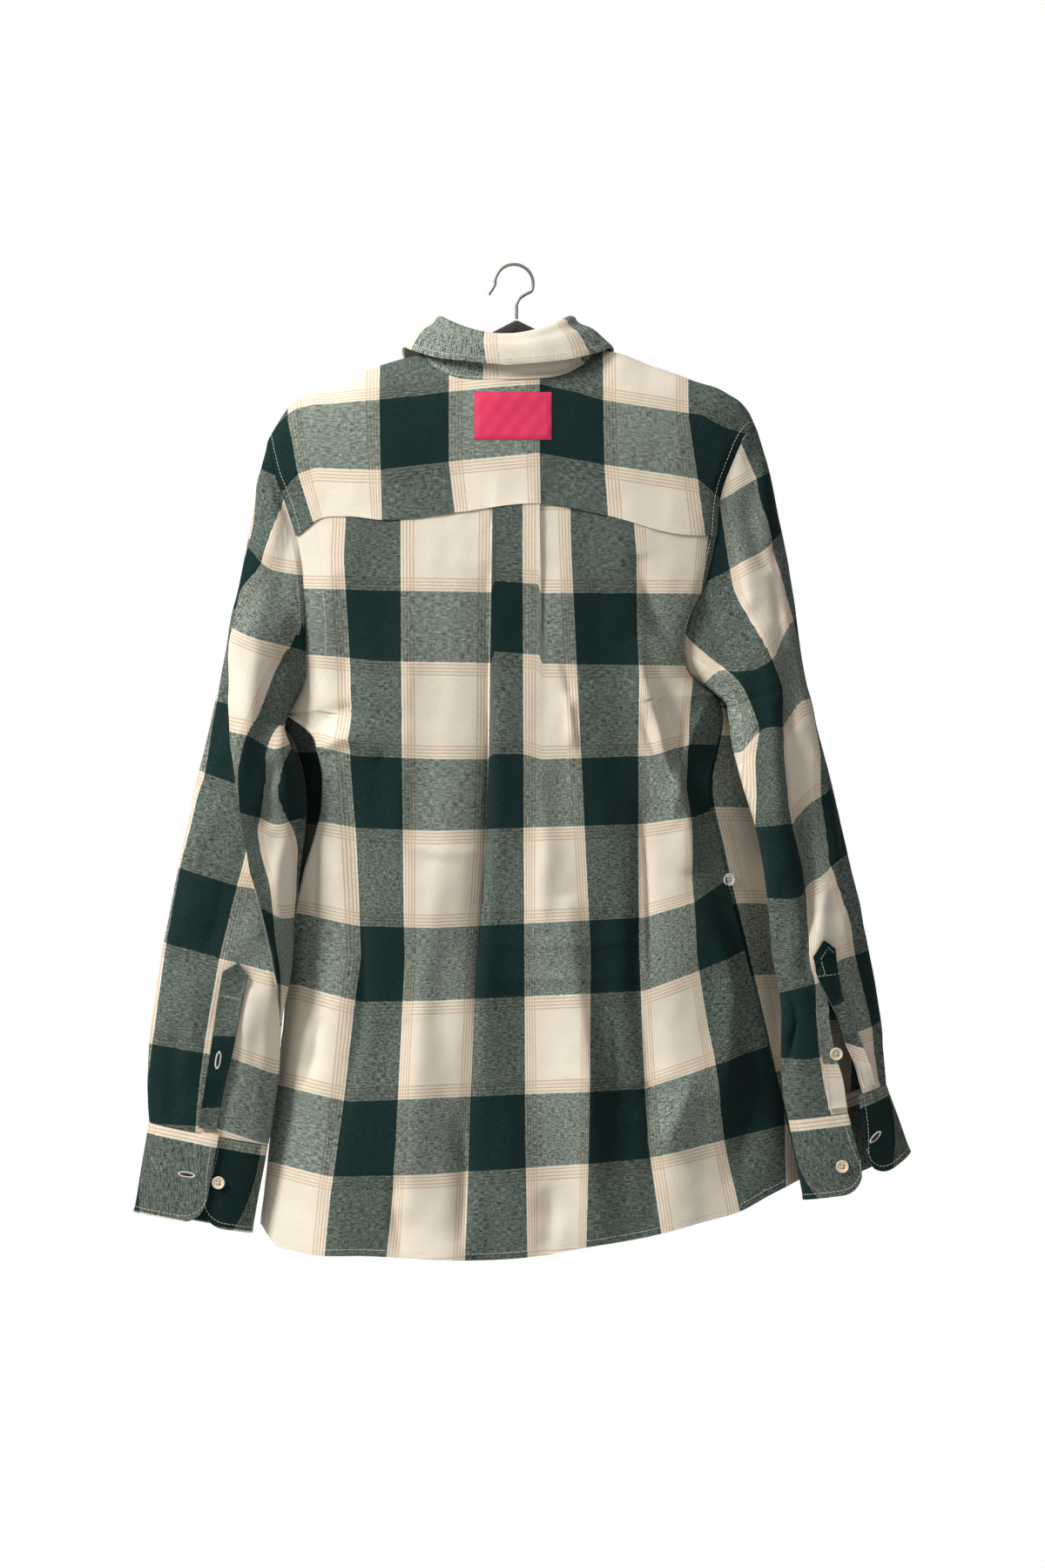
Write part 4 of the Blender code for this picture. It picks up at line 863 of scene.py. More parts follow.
def makeYoke():
    across = yokeAcross()
    bottom, top = yokeSeamLevel(across), neckLevel(across, -1)
    backRows, strapRows = yoke["rows"]
    rows = [torso(inside(across), top - (top - bottom) * (1 - k / backRows) ** yoke["backPower"], -1)
            for k in range(backRows + 1)]
    rows += [strapRow(across, body["strapDrop"] * (k / strapRows) ** yoke["strapPower"])
             for k in range(1, strapRows + 1)]
    points = np.array(rows)
    uv = clothUv(points, yoke["warps"], yoke["wefts"])
    # over the ridge the check goes on by length
    turn = int(backRows * yoke["turn"])
    for row in range(turn, len(rows)):
        uv[row, :, 1] = uv[row - 1, :, 1] - np.linalg.norm(points[row] - points[row - 1], axis=-1)
        if row > backRows:
            uv[row, :, 0] = uv[backRows, :, 0]
    x, z = points[..., 0], points[..., 2]
    fromSeam = arcLength(points, 0)
    arc = arcLength(points, 1)
    ends = ease(np.minimum(arc, arc[:, -1:] - arc) / yoke["sideFade"])
    relief = foldHeight(x, z, yoke["folds"]) + slackCloth(x, z, *yoke["slack"], False)
    relief = relief + slackCloth(x, z, *yoke["fine"], False)
    toFront = np.max(fromSeam, axis=0) - fromSeam
    relief = relief * ends * ease(fromSeam / yoke["seamFade"]) * ease(toFront / yoke["seamFade"])
    shape, (start, end) = yoke["pleat"], yoke["pleat"]["x"]
    pleat = (np.clip((x - start) / shape["edge"], 0, 1) * np.clip((end - x) / shape["edge"], 0, 1)
             * shape["height"] * np.exp(-fromSeam / shape["reach"]))
    ridge, place, width = yoke["seamRidge"]
    edge = yoke["proud"] * np.exp(-fromSeam / yoke["proudReach"])
    edge = edge + ridge * np.exp(-((fromSeam - place) / width) ** 2)
    points = points + normalsOf(points) * (relief + pleat + edge + yoke["lift"])[..., None]
    neckFirst, neckLast = yoke["columns"][0], yoke["columns"][0] + yoke["columns"][1]
    gaps = [(row, column) for row in range(backRows, backRows + strapRows)
            for column in range(neckFirst, neckLast)]
    return clothPiece("yokeCloth", points, uv, yoke["wall"], "yoke", gaps)


# fronts and band

fronts = {
    "rows": (140, 96),
    "columns": (18, 66),
    "wall": 0.0011,
    "tuck": 0.016,
    "tuckDepth": 0.0022,
    "seamWarp": {
        "left": ((-0.390, 30), (-0.50, 42), (-0.60, 50), (-0.84, 80)),
        "right": ((-0.390, 61), (-0.84, 61)),
    },
    "rowStart": {"left": 0.279, "right": 0.264, "centre": 0.272},
    "rowFade": 0.18,
    "centreWarp": 12,
    "pull": (0.020, 0.060, -0.385),      # from the seam, over this width, below this height
    "shown": (0.004, 0.02),
    "edgeFade": 0.02,
    "topGap": 0.0012,
    "slack": {"left": (30, 0.080, 0.0014), "right": (32, 0.080, 0.0014)},
    "fine": {"left": (33, 0.030, 0.00045), "right": (35, 0.030, 0.00045)},
    "tuckFade": 0.008,
    "tuckBend": (0.0006, 0.0010),
    "folds": {
        "left": (
            (((-120, -200), (-110, -330), (-124, -470)), 2.2, (16, 20), 1.8),
            (((-60, -300), (-66, -480), (-76, -640)), -1.8, (14, 18), 1.8),
            (((-150, -470), (-150, -640), (-168, -820)), 2.6, (16, 22), 1.8),
            (((-90, -560), (-96, -700), (-102, -850)), 2.4, (18, 22), 1.8),
            (((-185, -400), (-160, -420), (-130, -425)), 1.8, (8, 10), 1.6),
        ),
        "right": (
            (((110, -200), (104, -330), (116, -470)), 2.2, (16, 20), 1.8),
            (((56, -300), (60, -480), (66, -640)), -1.8, (14, 18), 1.8),
            (((150, -470), (160, -640), (176, -800)), 2.6, (16, 22), 1.8),
            (((86, -560), (90, -700), (96, -850)), 2.4, (18, 22), 1.8),
            (((170, -392), (150, -410), (120, -418)), 1.8, (8, 10), 1.6),
        ),
    },
}


band = {"wall": 0.0022, "columns": 14, "gap": 0.0012, "warpStart": 0.110, "slack": (41, 0.05, 0.0005),
        "puff": (0.0006, 0.004, 0.003)}


def bandAngle():
    return math.asin(body["bandHalf"] / body["neckHalf"])


def frontTop(across):
    neck, strap = neckLevel(across, 1), levelWhere(across, body["strapDrop"])
    return np.minimum(neck, strap) - fronts["topGap"]


def frontAcross(side):
    corner = math.acos(body["strapDrop"] / body["neckDrop"][1])
    near = neckAcross(side * np.linspace(bandAngle(), corner, fronts["columns"][0] + 1))
    near[0] += side * band["gap"]
    return np.concatenate([near, np.linspace(near[-1], side, fronts["columns"][1] + 1)[1:]])


def bodyRows(across, lowRows, highRows, top):
    rows = [torso(inside(across), level, 1) for level in np.linspace(-1, 0, lowRows + 1)]
    return np.array(rows + [torso(inside(across), top * k / highRows, 1) for k in range(1, highRows + 1)])


def makeFront(side):
    sign = -1 if side == "left" else 1
    across = frontAcross(sign)
    points = bodyRows(across, *fronts["rows"], frontTop(across))
    z = points[..., 2]
    arc = arcLength(points, 1)
    fromSeam = arc[:, -1:] - arc
    u = fronts["centreWarp"] * mm + arc
    knots = sorted(fronts["seamWarp"][side])
    wanted = np.interp(z[:, -1], [k[0] for k in knots], [k[1] * mm for k in knots])
    pitch = flannel["warpPitch"] * mm
    u = -u
    wrong = (wanted - u[:, -1] + pitch / 2) % pitch - pitch / 2
    wrong = np.unwrap(wrong / pitch * 2 * math.pi) * pitch / (2 * math.pi)
    start, reach, below = fronts["pull"]
    pull = 1 - ease((fromSeam - start) / reach)
    u = u + np.where(z < below, wrong[:, None], 0.0) * pull
    starts = fronts["rowStart"]
    fade = 1 - ease(fromSeam / fronts["rowFade"])
    shift = starts["centre"] + (starts[side] - starts["centre"]) * fade
    uv = np.stack([u, -z - shift], axis=-1)
    x = points[..., 0]
    start, reach = fronts["shown"]
    onFront = ease((points[..., 1] + start) / reach)
    relief = foldHeight(x, z, fronts["folds"][side]) + slackCloth(x, z, *fronts["slack"][side], True)
    relief = relief + slackCloth(x, z, *fronts["fine"][side], False)
    relief = relief * onFront * ease(arc / fronts["edgeFade"]) * ease(fromSeam / fronts["edgeFade"])
    points = points + normalsOf(points) * (relief * (1 if side == "right" else -1))[..., None]
    # its seam edge runs on under the back panel
    levels = np.concatenate([np.linspace(-1, 0, fronts["rows"][0] + 1), np.full(fronts["rows"][1], 0.0)])
    under = torso(sign * (1 - fronts["tuck"]), levels, -1)
    inward = -points[:, -1] * (1, 0, 0)
    under[:, 0] += np.sign(inward[:, 0]) * fronts["tuckDepth"]
    under[:, 1] += fronts["tuckDepth"]
    join = ease(-levels / fronts["tuckFade"])[:, None]
    tuck = points[:, -1] + (under - points[:, -1]) * join
    bendX, bendY = fronts["tuckBend"]
    middle = (tuck + points[:, -1]) / 2 + join * (sign * -bendX, bendY, 0)
    points = np.concatenate([points, middle[:, None], tuck[:, None]], axis=1)
    step = -np.linalg.norm(points[:, -1] - points[:, -3], axis=-1)
    for share in (0.5, 1.0):
        more = uv[:, len(across) - 1] + np.stack([step * share, 0 * step], axis=-1)
        uv = np.concatenate([uv, more[:, None]], axis=1)
    if side == "right":
        points, uv = points[:, ::-1], uv[:, ::-1]
    return clothPiece("front" + side.capitalize(), points, uv, fronts["wall"], "front_" + side)


def makeBand():
    edge = bandAngle()
    across = neckAcross(np.linspace(-edge, edge, band["columns"] + 1))
    across[0] += band["gap"]
    across[-1] -= band["gap"]
    points = bodyRows(across, *fronts["rows"], frontTop(across))
    x, z, arc = points[..., 0], points[..., 2], arcLength(points, 1)
    uv = np.stack([arc + band["warpStart"], -z - fronts["rowStart"]["centre"]], axis=-1)
    height, place, width = band["puff"]
    puff = height * np.exp(-(np.minimum(arc, arc[:, -1:] - arc) - place) ** 2 / width**2)
    relief = slackCloth(x, z, *band["slack"], False) - puff
    points = (points + normalsOf(points) * -relief[..., None])[:, ::-1]
    return clothPiece("frontBand", points, uv[:, ::-1], band["wall"], "front_band")


# sleeves

sleeves = {
    "fanEnd": 0.36, "fanOuter": 0.38, "fanInner": 0.07, "end": 0.999, "wall": 0.0011,
    "rows": 196, "hidden": 48, "outerColumns": 26, "soft": 0.006, "foldScale": 2.5,
    "innerColumns": 40, "foldColumns": (42, 24), "foldEdge": 0.008,
    "endDrop": 0.0115, "dropWidth": 1.19, "dropFrom": 0.834, "beyondSlit": (0.8, 0.2, 0.01),
    "away": (1.0, 0.0, -0.6), "gap": 0.0004,
    "foldSearch": {"start": 1.2, "rounds": 14, "reach": 0.07, "ends": (0.08, 0.05)},
    "foldWidth": 0.040, "radius": 0.06, "edgePower": 0.45, "endFade": (0.03, 0.02),
    "hiddenShift": (0.006, 0.014), "hiddenShare": 0.85,
    "slack": {"left": (51, 0.060, 0.0015), "right": (52, 0.060, 0.0015)}, "fine": (53, 0.022, 0.00055),
    "depth": ((0.0, 0.034), (0.36, 0.034), (0.65, 0.030), (1.0, 0.022)),
    "left": {
        "outer": ((-0.2158, 0.000, -0.1520), (-0.2212, 0.000, -0.1786), (-0.2303, 0.000, -0.2242),
                  (-0.2485, -0.004, -0.3154), (-0.2607, -0.008, -0.3762), (-0.2744, -0.010, -0.4370),
                  (-0.2880, -0.010, -0.4978), (-0.3002, -0.010, -0.5586), (-0.3116, -0.010, -0.6194),
                  (-0.3192, -0.010, -0.6802), (-0.3207, -0.010, -0.7182), (-0.3192, -0.010, -0.7463)),
        "inner": ((-0.2037, 0.000, -0.3899), (-0.2085, -0.004, -0.3950), (-0.2060, -0.011, -0.4030),
                  (-0.1990, -0.018, -0.4150), (-0.1915, -0.023, -0.4310), (-0.1865, -0.021, -0.4460),
                  (-0.1835, -0.022, -0.4674), (-0.1842, -0.022, -0.4978), (-0.1892, -0.022, -0.5320),
                  (-0.1930, -0.022, -0.5662), (-0.1950, -0.022, -0.6042), (-0.2029, -0.022, -0.6559),
                  (-0.2062, -0.020, -0.7106), (-0.2151, -0.016, -0.7661)),
        "behind": -1.0,      # how fast the warps run on behind
        "fold": ((-219.6, -150), (-219.6, -163.4), (-224.2, -218.9), (-229.5, -254.6), (-237.1, -300.2),
                 (-242.4, -345.8), (-244, -383), (-240.2, -435.5), (-234.8, -490.2), (-229.5, -528.2),
                 (-221.2, -558.6), (-212.8, -596.6), (-206.7, -642.2), (-204.4, -661.2)),
        "foldHeight": ((-0.16, 0.0), (-0.23, 0.0022), (-0.30, 0.0040), (-0.40, 0.0050), (-0.52, 0.0046),
                       (-0.60, 0.0034), (-0.66, 0.0)),
        "foldEnd": -0.6612,
    },
    "right": {
        "outer": ((0.2105, 0.000, -0.1436), (0.2166, 0.000, -0.1634), (0.2303, 0.000, -0.2242),
                  (0.2417, -0.004, -0.2850), (0.2500, -0.008, -0.3458), (0.2622, -0.014, -0.4066),
                  (0.2774, -0.018, -0.4674), (0.2918, -0.020, -0.5282), (0.3055, -0.020, -0.5890),
                  (0.3162, -0.020, -0.6498), (0.3200, -0.020, -0.6878), (0.3222, -0.020, -0.7129)),
        "inner": ((0.1700, 0.000, -0.3739), (0.1775, -0.003, -0.3780), (0.1830, -0.010, -0.3850),
                  (0.1850, -0.020, -0.3950), (0.1870, -0.031, -0.4140), (0.1961, -0.044, -0.4522),
                  (0.2075, -0.046, -0.4900), (0.2174, -0.044, -0.5442), (0.2227, -0.040, -0.6042),
                  (0.2288, -0.036, -0.6354), (0.2310, -0.030, -0.7091), (0.2364, -0.028, -0.7433)),
        "behind": 1.3,
        "slit": {"share": (0.800, 0.840, 0.870, 0.912, 0.950, 1.000),
                 "low": (92.0, 91.0, 83.0, 75.0, 67.0, 60.0),
                 "high": (92.0, 91.8, 92.0, 87.5, 81.0, 79.0)},
    },
    "folds": {
        "left": (
            (((-246.2, -292.6), (-237.1, -345.8), (-228, -399)), 1.6, (6, 9), 1.6),
            (((-199.1, -345.8), (-208.2, -391.4), (-205.2, -437), (-196.1, -475)), 2.4, (6, 8), 1.6),
            (((-187.7, -300.2), (-199.1, -330.6), (-212.8, -376.2)), -2, (6, 8), 1.6),
            (((-205.2, -421.8), (-212.8, -456), (-215.8, -490.2)), -2.2, (4, 6), 1.5),
            (((-267.5, -452.2), (-273.6, -513), (-287.3, -573.8)), 1.6, (9, 12), 1.8),
            (((-250.8, -535.8), (-259.9, -573.8), (-276.6, -611.8)), -1.5, (7, 9), 1.7),
            (((-199.1, -490.2), (-208.2, -528.2), (-206.7, -573.8)), 1.8, (5, 7), 1.6),
            (((-275.1, -619.4), (-281.2, -665), (-287.3, -718.2)), 1.4, (9, 12), 1.8),
            (((-229.5, -627), (-232.6, -672.6), (-235.6, -718.2)), 1.2, (7, 9), 1.7),
            (((-294.1, -665), (-297.9, -703), (-301, -745.6)), -1.4, (6, 8), 1.6),
            (((-221.9, -163.4), (-208.2, -224.2), (-202.2, -285)), 1.8, (10, 12), 1.8),
            (((-187.7, -193.8), (-199.1, -239.4), (-208.2, -300.2)), -2, (7, 9), 1.6),
            (((-221.9, -300.2), (-225, -353.4), (-231, -414.2), (-237.1, -475)), 1.8, (9, 7), 1.6),
            (((-205.2, -558.6), (-209.8, -604.2), (-214.3, -649.8), (-220.4, -703)), 1.6, (7, 9), 1.6),
        ),
        "right": (
            (((211.3, -163.4), (217.4, -212.8), (225, -245.5)), 2.2, (5, 8), 1.5),
            (((232.6, -338.2), (235.6, -361), (234.8, -387.6), (236.4, -414.2)), -1.6, (2.2, 7), 1.3),
            (((246.2, -467.4), (250, -505.4), (252.3, -551), (250, -596.6)), -1.4, (2.2, 7), 1.3),
            (((215.8, -193.8), (221.9, -231.8), (228, -269.8)), -1.2, (2.2, 6), 1.3),
            (((202.2, -193.8), (205.2, -231.8), (218.9, -269.8)), -1.4, (7, 9), 1.7),
            (((222.7, -266), (228.8, -300.2), (233.3, -333.6)), -1.6, (5, 7), 1.5),
            (((233.3, -333.6), (238.6, -368.6), (237.1, -399.8), (243.2, -444.6), (247.8, -487.9),
                (254.6, -528.2), (254.6, -573.8), (249.3, -619.4)), -4.2, (7, 9), 1.5),
            (((218.9, -361), (221.9, -399), (223.4, -452.2), (228, -513), (231, -573.8)), 2.2, (10, 12),
                1.8),
            (((253.1, -368.6), (263, -421.8), (270.6, -482.6), (281.2, -543.4), (294.9, -596.6)),
                2, (9, 12), 1.8),
            (((196.1, -292.6), (209.8, -316.9), (228, -334.4)), 2.4, (6, 9), 1.6),
            (((177.8, -353.4), (196.1, -368.6), (208.2, -406.6)), 3, (5, 9), 1.6),
            (((162.6, -292.6), (173.3, -323), (193, -353.4)), -2, (7, 9), 1.6),
            (((237.9, -627), (243.2, -672.6), (246.2, -725.8)), 1.8, (7, 10), 1.7),
            (((298.7, -611.8), (302.5, -665), (310.1, -710.6)), 1.4, (7, 9), 1.7),
            (((231, -528.2), (226.5, -573.8), (230.3, -627)), -1.6, (5, 8), 1.6),
            (((226.5, -625.5), (237.9, -639.2), (241.7, -655.9), (235.6, -680.2), (234.1, -703)),
                -3.2, (3, 7), 1.4),
            (((268.3, -535.8), (261.4, -573.8), (256.9, -611.8)), 1.8, (7, 10), 1.6),
            (((188.5, -231.8), (197.6, -262.2), (205.2, -300.2)), 2, (8, 10), 1.7),
            (((310.1, -665), (317.7, -695.4), (320.7, -727.3)), -1.6, (5, 6), 1.5),
        ),
    },
    "warps": {
        "leftOuter": {
            0: ((-207.5, -148.2), (-233.3, -247), (-250.8, -299.4), (-258.4, -380), (-269, -441.6),
                (-288.8, -515.3), (-303.2, -589.8), (-315.4, -677.9), (-320, -710.6), (-317.7, -756.2)),
            59: ((-176.3, -254.6), (-191.5, -299.4), (-201.4, -380), (-215.1, -441.6), (-228, -482.6),
                (-234.1, -515.3), (-240.9, -540.4), (-252.3, -585.2), (-256.4, -602.7), (-267.5, -664.2),
                (-273.6, -710.6), (-278.2, -756.2)),
        },
        "leftInner": {
            59: ((-191.5, -163.4), (-201.4, -211.3), (-215.1, -247), (-219.6, -263.7), (-224.2, -271.3),
                (-231, -278.9), (-236.4, -292.6), (-250.8, -330.6), (-267.5, -376.2)),
            138: ((-162.6, -269.8), (-176.3, -304), (-181.6, -313.9), (-194.6, -332.9), (-209, -354.2),
                (-216.6, -372.4), (-229.5, -411.2), (-236.4, -441.6), (-235.6, -477.3), (-237.1, -528.2),
                (-221.9, -658.9)),
            197: ((-182.4, -368.6), (-212, -406.6), (-215.8, -424.1), (-215.1, -445.4), (-219.6, -478),
                (-223.4, -491.7), (-219.6, -515.3), (-213.6, -538.1), (-212, -561.6), (-209, -596.6),
                (-206.7, -611.8), (-205.2, -658.9)),
            276: ((-161.1, -391.4), (-202.9, -427.9), (-208.2, -460.6), (-198.4, -484.1), (-193.8, -490.2),
                (-190.8, -507.7), (-192.3, -541.9), (-194.6, -567.7), (-187.7, -658.9)),
        },
        "right": {
            138: ((112.5, -206.7), (135.3, -292.6), (149.7, -326), (177.1, -349.6), (190, -356.4),
                (201.4, -370.1), (211.3, -404.3), (207.5, -427.9), (207.5, -487.2), (205.2, -513),
                (203.7, -604.2), (211.3, -748.6)),
            197: ((167.2, -158.8), (177.1, -206.7), (186, -266), (190, -285.8), (220.4, -339),
                (222.7, -345.8), (231, -365.6), (233.3, -386.8), (232.6, -403.6), (231, -420.3),
                (234.1, -447.6), (234.8, -467.4), (239.4, -487.2), (249.3, -523.6), (253.1, -545.7),
                (253.8, -604.2), (259.2, -624.7), (259.9, -658.2), (263, -689.3), (268.3, -720.5),
                (275.1, -743.3)),
            276: ((194.6, -154.3), (209, -187), (210.5, -201.4), (221.9, -234.8), (226.5, -254.6),
                (242.4, -310.8), (254.6, -378.5), (260.7, -415), (263.7, -462.8), (269.8, -519.1),
                (279.7, -550.2), (288, -573.8), (294.1, -600.4), (307, -662), (316.2, -713.6),
                (320, -727.3), (322.2, -748.6)),
        },
    },
    "wefts": {
        "leftOuter": {
            0: ((-252.3, -231.8), (-231.8, -239.4), (-226.5, -239.4)),
            62: ((-267.5, -296.4), (-245.5, -299.4), (-234.8, -302.5)),
            146: ((-278.9, -376.2), (-259.9, -380), (-244.7, -384.6)),
            208: ((-282.7, -437), (-272.1, -441.6), (-240.9, -452.2)),
            292: ((-305.5, -522.9), (-291.1, -525.2), (-241.7, -540.4), (-221.9, -543.4)),
            354: ((-313.1, -587.5), (-304.8, -589.8), (-256.1, -602.7), (-210.5, -614.8)),
            438: ((-328.3, -676.4), (-317.7, -677.9), (-267.5, -685.5), (-245.5, -689.3), (-204.4, -705.3)),
            500: ((-332.1, -745.6), (-320, -747.1), (-263.7, -748.6), (-214.3, -765.3)),
        },
        "leftInner": {
            0: ((-237.1, -231.8), (-227.2, -249.3), (-219.6, -262.2), (-212, -267.5), (-186.2, -271.3)),
            62: ((-244.7, -313.9), (-237.9, -320.7), (-225.7, -328.3), (-194.6, -332.9), (-180.9, -338.2)),
            146: ((-252.3, -402.8), (-242.4, -408.1), (-228, -411.9), (-215.1, -421.8), (-202.9, -426.4),
                (-202.2, -419.5), (-183.2, -412.7)),
            208: ((-244.7, -471.2), (-235.6, -477.3), (-219.6, -481.1), (-208.2, -488.7), (-198.4, -484.9),
                (-183.2, -480.3)),
            292: ((-233.3, -556.3), (-221.9, -558.6), (-212, -562.4), (-211.3, -568.5), (-194.6, -567.7),
                (-183.9, -566.2)),
            354: ((-221.9, -619.4), (-208.2, -624), (-194.6, -629.3), (-187.7, -631.6)),
        },
        "right": {
            -146: ((158.1, -212.8), (177.1, -206.7), (209, -187), (228.8, -176.3), (237.9, -171)),
            -84: ((150.5, -285), (162.6, -278.2), (186, -266), (221.2, -246.2), (228.8, -233.3),
                (241.7, -224.2)),
            0: ((154.3, -376.2), (164.9, -364), (177.1, -351.9), (190, -355.7), (206, -354.2),
                (222.7, -345.8), (231.8, -329.8), (232.3, -316.9), (242.4, -310.8), (255.4, -300.2)),
            62: ((196.1, -425.6), (211.3, -404.3), (232.6, -403.6), (240.9, -396.7), (242.4, -381.5),
                (254.6, -378.5), (260.7, -376.2), (272.1, -368.6)),
            146: ((188.5, -494), (206.7, -489.4), (240.9, -486.4), (249.3, -484.1), (251.6, -470.4),
                (264.5, -463.6), (273.6, -453.7), (287.3, -444.6)),
            208: ((203.7, -552.5), (221.2, -550.2), (237.1, -551.8), (253.1, -545.7), (253.8, -537.3),
                (270.6, -529.7), (271, -519.8), (279.7, -516.8), (294.9, -509.2)),
            292: ((218.9, -634.6), (232.6, -632.3), (245.5, -627.8), (263.7, -624.7), (278.2, -603.4),
                (294.1, -600.4), (310.1, -595.1)),
            354: ((218.9, -690.8), (233.3, -689.3), (253.1, -690.1), (263, -687.8), (279.7, -687),
                (294.1, -665.8), (307, -662.7), (318.4, -655.9)),
        },
    },
}


def fanned(share, taken):
    end = sleeves["fanEnd"]
    return taken * np.clip(share / end, 0, 1) + (1 - taken) * np.clip((share - end) / (1 - end), 0, 1)


def ringPoint(outer, inner, angle, depth):
    across = ((1 - np.cos(angle)) / 2)[..., None]
    point = outer + (inner - outer) * across
    point[..., 1] -= depth * np.sign(np.sin(angle)) * np.abs(np.sin(angle)) ** body["depthPower"]
    return point


def endDrop(angle):
    # how far the button end of the right cuff hangs down, most beside the slit
    return sleeves["endDrop"] * np.clip((1 + np.cos(angle)) / sleeves["dropWidth"], 0, 1)


def slitEdges(side, share):
    # angles of the slit's two edges; the same above its top
    slit = sleeves[side]["slit"]
    return tuple(np.radians(np.interp(share, slit["share"], slit[edge])) for edge in ("low", "high"))


def sleevePoint(side, angle, share):
    # angle 0 is the outer edge, 90 degrees the back and 180 the inner edge
    angle, share = np.broadcast_arrays(np.asarray(angle, float), np.asarray(share, float))
    form = sleeves[side]
    outer = placeAlong(form["outer"], fanned(share, sleeves["fanOuter"]))
    inner = placeAlong(form["inner"], fanned(share, sleeves["fanInner"]))
    knots = list(zip(*sleeves["depth"]))
    ring = ringPoint(outer, inner, angle, smoothCurve(share, *knots))
    sign = -1.0 if side == "left" else 1.0
    hole = torso(sign, (1 + np.cos(angle)) / 2, np.where(np.sin(angle) >= 0, -1.0, 1.0))
    tip, pit = np.asarray(form["outer"][0]), np.asarray(form["inner"][0])
    line = tip + (pit - tip) * ((1 - np.cos(angle)) / 2)[..., None]
    flatRing = ringPoint(outer, inner, angle, np.zeros(share.shape))
    keep = (1 - ease(share / sleeves["fanEnd"]))[..., None]
    away = np.array(sleeves["away"]) * (sign, 1.0, 1.0) * sleeves["gap"]
    placed = ring * (1 - keep) + (flatRing + hole - line + away) * keep
    if side == "right":
        (low, high), (lowShare, highShare, past) = slitEdges(side, share), sleeves["beyondSlit"]
        drop = np.where(angle > low * lowShare + high * highShare + past, endDrop(angle), 0.0)
        placed[..., 2] -= drop * ease((share - sleeves["dropFrom"]) / (1 - sleeves["dropFrom"]))
    return placed


def foldAngle(side, share):
    # angle round the sleeve where its long fold lies
    search = sleeves["foldSearch"]
    first, last = search["ends"]
    angle = np.full(np.shape(share), search["start"])
    for _ in range(search["rounds"]):
        point = sleevePoint(side, angle, share)
        off = threadAt(sleeves[side]["fold"], point[..., 2], True) - point[..., 0]
        angle = np.clip(angle + off / search["reach"], first, math.pi - last)
    return angle


def sleeveAngles(side, share):
    # columns for one ring: hidden half, then the shown half with its slit and long fold
    hidden, edge = sleeves["hidden"], sleeves["foldEdge"]
    if side == "left":
        fold = float(foldAngle(side, np.array(share)))
        outer, inner = sleeves["foldColumns"]
        marks = [(0.0, outer), (fold - edge, -1), (fold + edge, inner), (math.pi, 0)]
    else:
        low, high = slitEdges(side, share)
        marks = [(0.0, sleeves["outerColumns"]), (low, -1), (high, sleeves["innerColumns"]), (math.pi, 0)]
    parts = [np.linspace(-math.pi, 0, hidden + 1)[:-1]]
    for (start, count), (end, _) in zip(marks, marks[1:]):
        if count > 0:
            parts.append(np.linspace(start, end, count + 1)[:-1])
        else:
            parts.append(np.array([start]))
    return np.concatenate(parts + [np.array([math.pi])])


def sleeveRelief(side, angles, shares, x, z):
    # folds and slack on the shown half, and much the same behind
    form, folds = sleeves[side], sleeves["folds"][side]
    height = foldHeight(x, z, folds)
    if side == "left":
        foldX = threadAt(form["fold"], z, True)
        step = smoothCurve(-z, *zip(*[(-a, b) for a, b in form["foldHeight"]]))
        fall = np.exp(-np.clip(x - foldX, 0, 1) / sleeves["foldWidth"])
        height = height + np.where(x > foldX, step * fall, 0.0)
    shiftX, shiftZ = sleeves["hiddenShift"]
    hidden = foldHeight(x + shiftX, z + shiftZ, folds) * sleeves["hiddenShare"]
    height = np.where(angles >= 0, height, hidden) * sleeves["foldScale"]
    around, (first, last) = angles * sleeves["radius"], sleeves["endFade"]
    height = height + slackCloth(around, z, *sleeves["slack"][side], False)
    height = height + slackCloth(around, z, *sleeves["fine"], False)
    edges = np.abs(np.sin(angles)) ** sleeves["edgePower"]
    return height * edges * ease(shares / first) * ease((1 - shares) / last)


